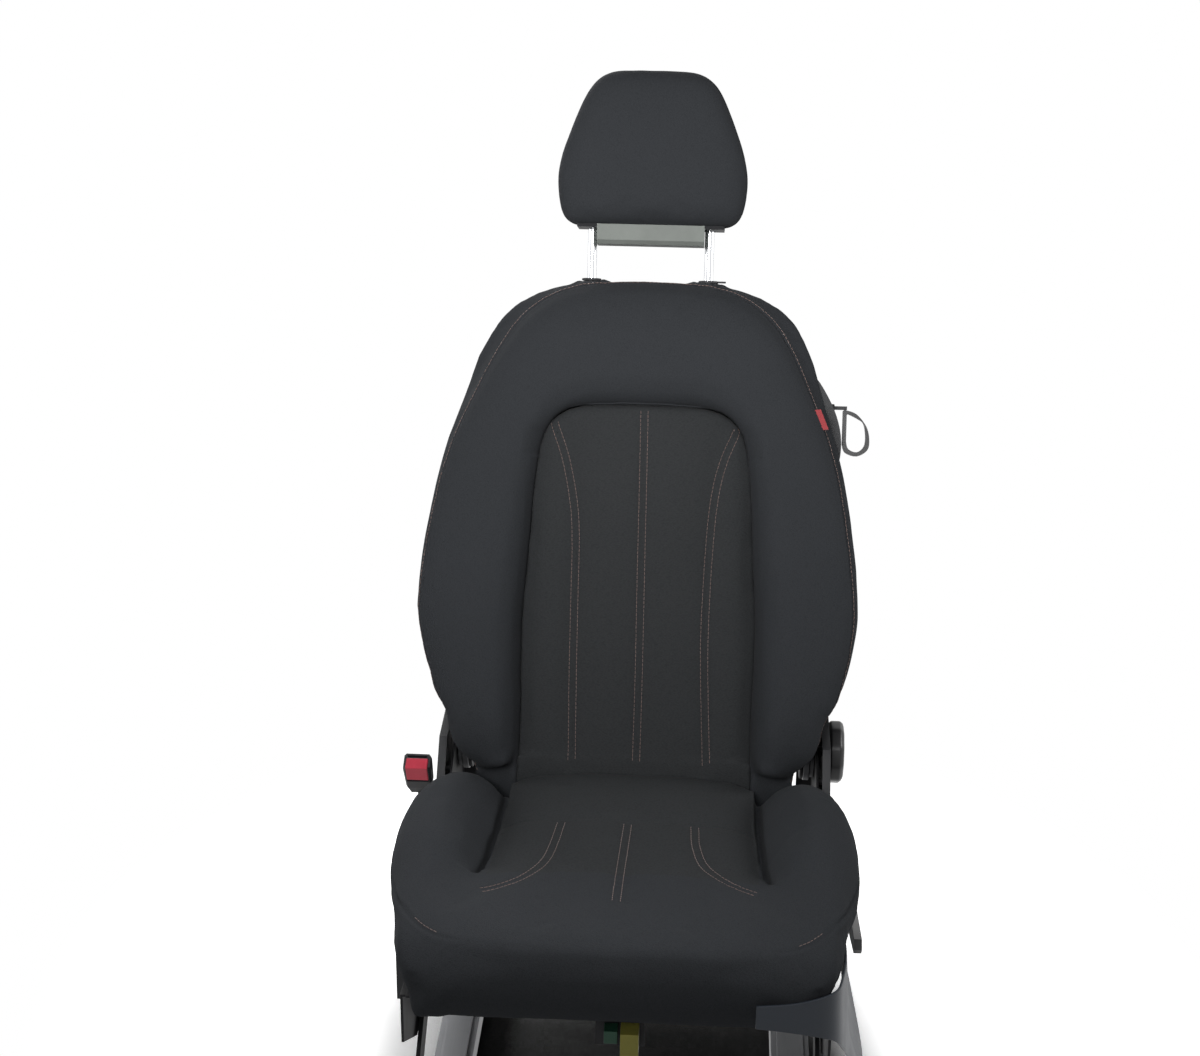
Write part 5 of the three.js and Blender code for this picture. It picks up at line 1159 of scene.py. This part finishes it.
class SEAT_OT_stage(bpy.types.Operator):
    """Pale floor with painted shade under the seat, soft lamps and the camera"""

    bl_idname = "seat.stage"
    bl_label = "Floor, lamps and camera"

    def execute(self, context):
        studio = context.scene.seat_studio
        self.floor()
        self.room(studio.sky)
        self.lamp("high_front", (-0.25, -1.75, 1.6), (0, 0.35, 0.95), 0.8, 56, studio.key)
        self.lamp("overhead", (0, -0.65, 2.1), (0, -0.42, 0.3), 0.5, 46, studio.top)
        self.lamp("rear", (-0.9, 2.4, 1.7), (0, 0.2, 0.6), 1.6, 110, studio.round)
        self.lamp("left", (-2.6, 0.3, 1.5), (0, 0, 0.6), 1.2, 100, studio.round * 0.3)
        self.lamp("right", (2.6, 0.3, 1.5), (0, 0, 0.6), 1.2, 100, studio.round * 0.45)
        self.camera()
        view = context.scene.view_settings
        view.view_transform = "Standard"
        return {"FINISHED"}

    def floor(self):
        shape = bmesh.new()
        bmesh.ops.create_grid(shape, x_segments=1, y_segments=1, size=30)
        mesh = bpy.data.meshes.new("floor")
        shape.to_mesh(mesh)
        shape.free()
        floor = link("floor", mesh)
        made = Finish(
            "floor_paper", Base_Color=(0.6, 0.6, 0.6, 1), Roughness=0.95, Specular_IOR_Level=0.1)
        paper = Wire(made, made.shader.outputs[0])
        away = made.node(
            "ShaderNodeVectorMath", {"operation": "LENGTH"}, {0: made.place()}, output=1)
        open_floor = made.node("ShaderNodeMapRange", {"interpolation_type": "SMOOTHSTEP"}, {
            0: away, 1: SHADOW_REACH[0], 2: SHADOW_REACH[1]})
        # Painted shade: ambient occlusion darkens the floor's colour under and beside the seat, down to
        # 0.02, on top of the lamps' real shadow
        clear = made.node(
            "ShaderNodeAmbientOcclusion", {"samples": 48}, {"Distance": 0.42}, output=1)
        clear = made.node("ShaderNodeMapRange", {"interpolation_type": "SMOOTHSTEP"}, {
            0: clear, 1: 0.25, 2: 0.93})
        floor_with_painted_shade = made.node("ShaderNodeBsdfDiffuse", {}, {
            0: made.blend(clear, (0.02, 0.02, 0.02), (2.7, 2.7, 2.7))})
        white = made.node("ShaderNodeEmission", {}, {0: (1, 1, 1), 1: 1})
        shown = made.node("ShaderNodeMixShader", {}, {0: open_floor, 1: floor_with_painted_shade, 2: white})
        straight = made.node("ShaderNodeLightPath", output="Is Camera Ray")
        shown = made.node("ShaderNodeMixShader", {}, {0: straight, 1: white, 2: shown})
        pick = made.node("ShaderNodeMixShader", {}, {0: seen_ray(made), 1: paper, 2: shown})
        made.join(pick, "Material Output")
        floor.data.materials.append(made.material)

    def room(self, strength):
        world = bpy.data.worlds.new("room")
        bpy.context.scene.world = world
        world.use_nodes = True
        made = Tree(world.node_tree)
        level = made.node("ShaderNodeMapRange", {}, {0: seen_ray(made), 3: strength, 4: 1})
        made.tree.nodes["Background"].inputs["Color"].default_value = (1, 1, 1, 1)
        made.join(level, "Background", "Strength")

    def lamp(self, name, place, aim, size, spread, power):
        data = bpy.data.lights.new(name, "AREA")
        data.spread = math.radians(spread)
        data.shape, data.size, data.energy = "DISK", size, power
        lamp = bpy.data.objects.new(name, data)
        lamp.visible_camera = False
        bpy.context.scene.collection.objects.link(lamp)
        lamp.location = place
        lamp.rotation_euler = (Vector(aim) - Vector(place)).to_track_quat("-Z", "Y").to_euler()

    def camera(self):
        """At the photograph's place: 23 degrees down, 3 degrees to the outboard side."""
        data = bpy.data.cameras.new("camera")
        data.sensor_fit, data.sensor_width = "HORIZONTAL", SENSOR
        data.lens = SENSOR * FOCAL_PIXELS / PICTURE_WIDTH
        data.clip_end = 200
        camera = bpy.data.objects.new("camera", data)
        bpy.context.scene.collection.objects.link(camera)
        yaw, pitch, roll = (math.radians(angle) for angle in CAMERA_TURN)
        ahead = Vector((-math.sin(yaw) * math.cos(pitch), math.cos(yaw) * math.cos(pitch),
                        -math.sin(pitch)))
        right = Vector((math.cos(yaw), math.sin(yaw), 0))
        up = right.cross(ahead)
        right, up = (right * math.cos(roll) + up * math.sin(roll),
                     up * math.cos(roll) - right * math.sin(roll))
        turn = Matrix((right, up, -ahead)).transposed().to_4x4()
        turn.translation = CAMERA_PLACE
        camera.matrix_world = turn
        bpy.context.scene.camera = camera


OPERATORS = (
    SEAT_OT_stage, SEAT_OT_finishes, SEAT_OT_hard_parts, SEAT_OT_valance, SEAT_OT_backrest_cover,
    SEAT_OT_backrest_insert, SEAT_OT_cushion_cover, SEAT_OT_head_cover,
)


class SEAT_PT_seat(bpy.types.Panel):
    """The seat's pieces and settings"""

    bl_label = "Sports front seat"
    bl_idname = "SEAT_PT_seat"
    bl_space_type = "VIEW_3D"
    bl_region_type = "UI"
    bl_category = "Seat"

    def draw(self, context):
        for group in GROUPS:
            box = self.layout.box()
            settings = getattr(context.scene, group)
            for name in settings.bl_rna.properties.keys():
                if name not in {"rna_type", "name"}:
                    box.prop(settings, name)
        for operator in OPERATORS:
            self.layout.operator(operator.bl_idname)


GROUPS = {
    "seat_cloth": SeatCloth, "seat_stitching": SeatStitching, "seat_trim": SeatTrim,
    "seat_studio": SeatStudio,
}


def register():
    for made in (*GROUPS.values(), *OPERATORS, SEAT_PT_seat):
        bpy.utils.register_class(made)
    for name, group in GROUPS.items():
        setattr(bpy.types.Scene, name, PointerProperty(type=group))


def unregister():
    for name in GROUPS:
        delattr(bpy.types.Scene, name)
    for made in reversed((*GROUPS.values(), *OPERATORS, SEAT_PT_seat)):
        bpy.utils.unregister_class(made)


def main():
    register()
    for operator in OPERATORS:
        family, name = operator.bl_idname.split(".")
        getattr(getattr(bpy.ops, family), name)()


if __name__ == "__main__":
    main()
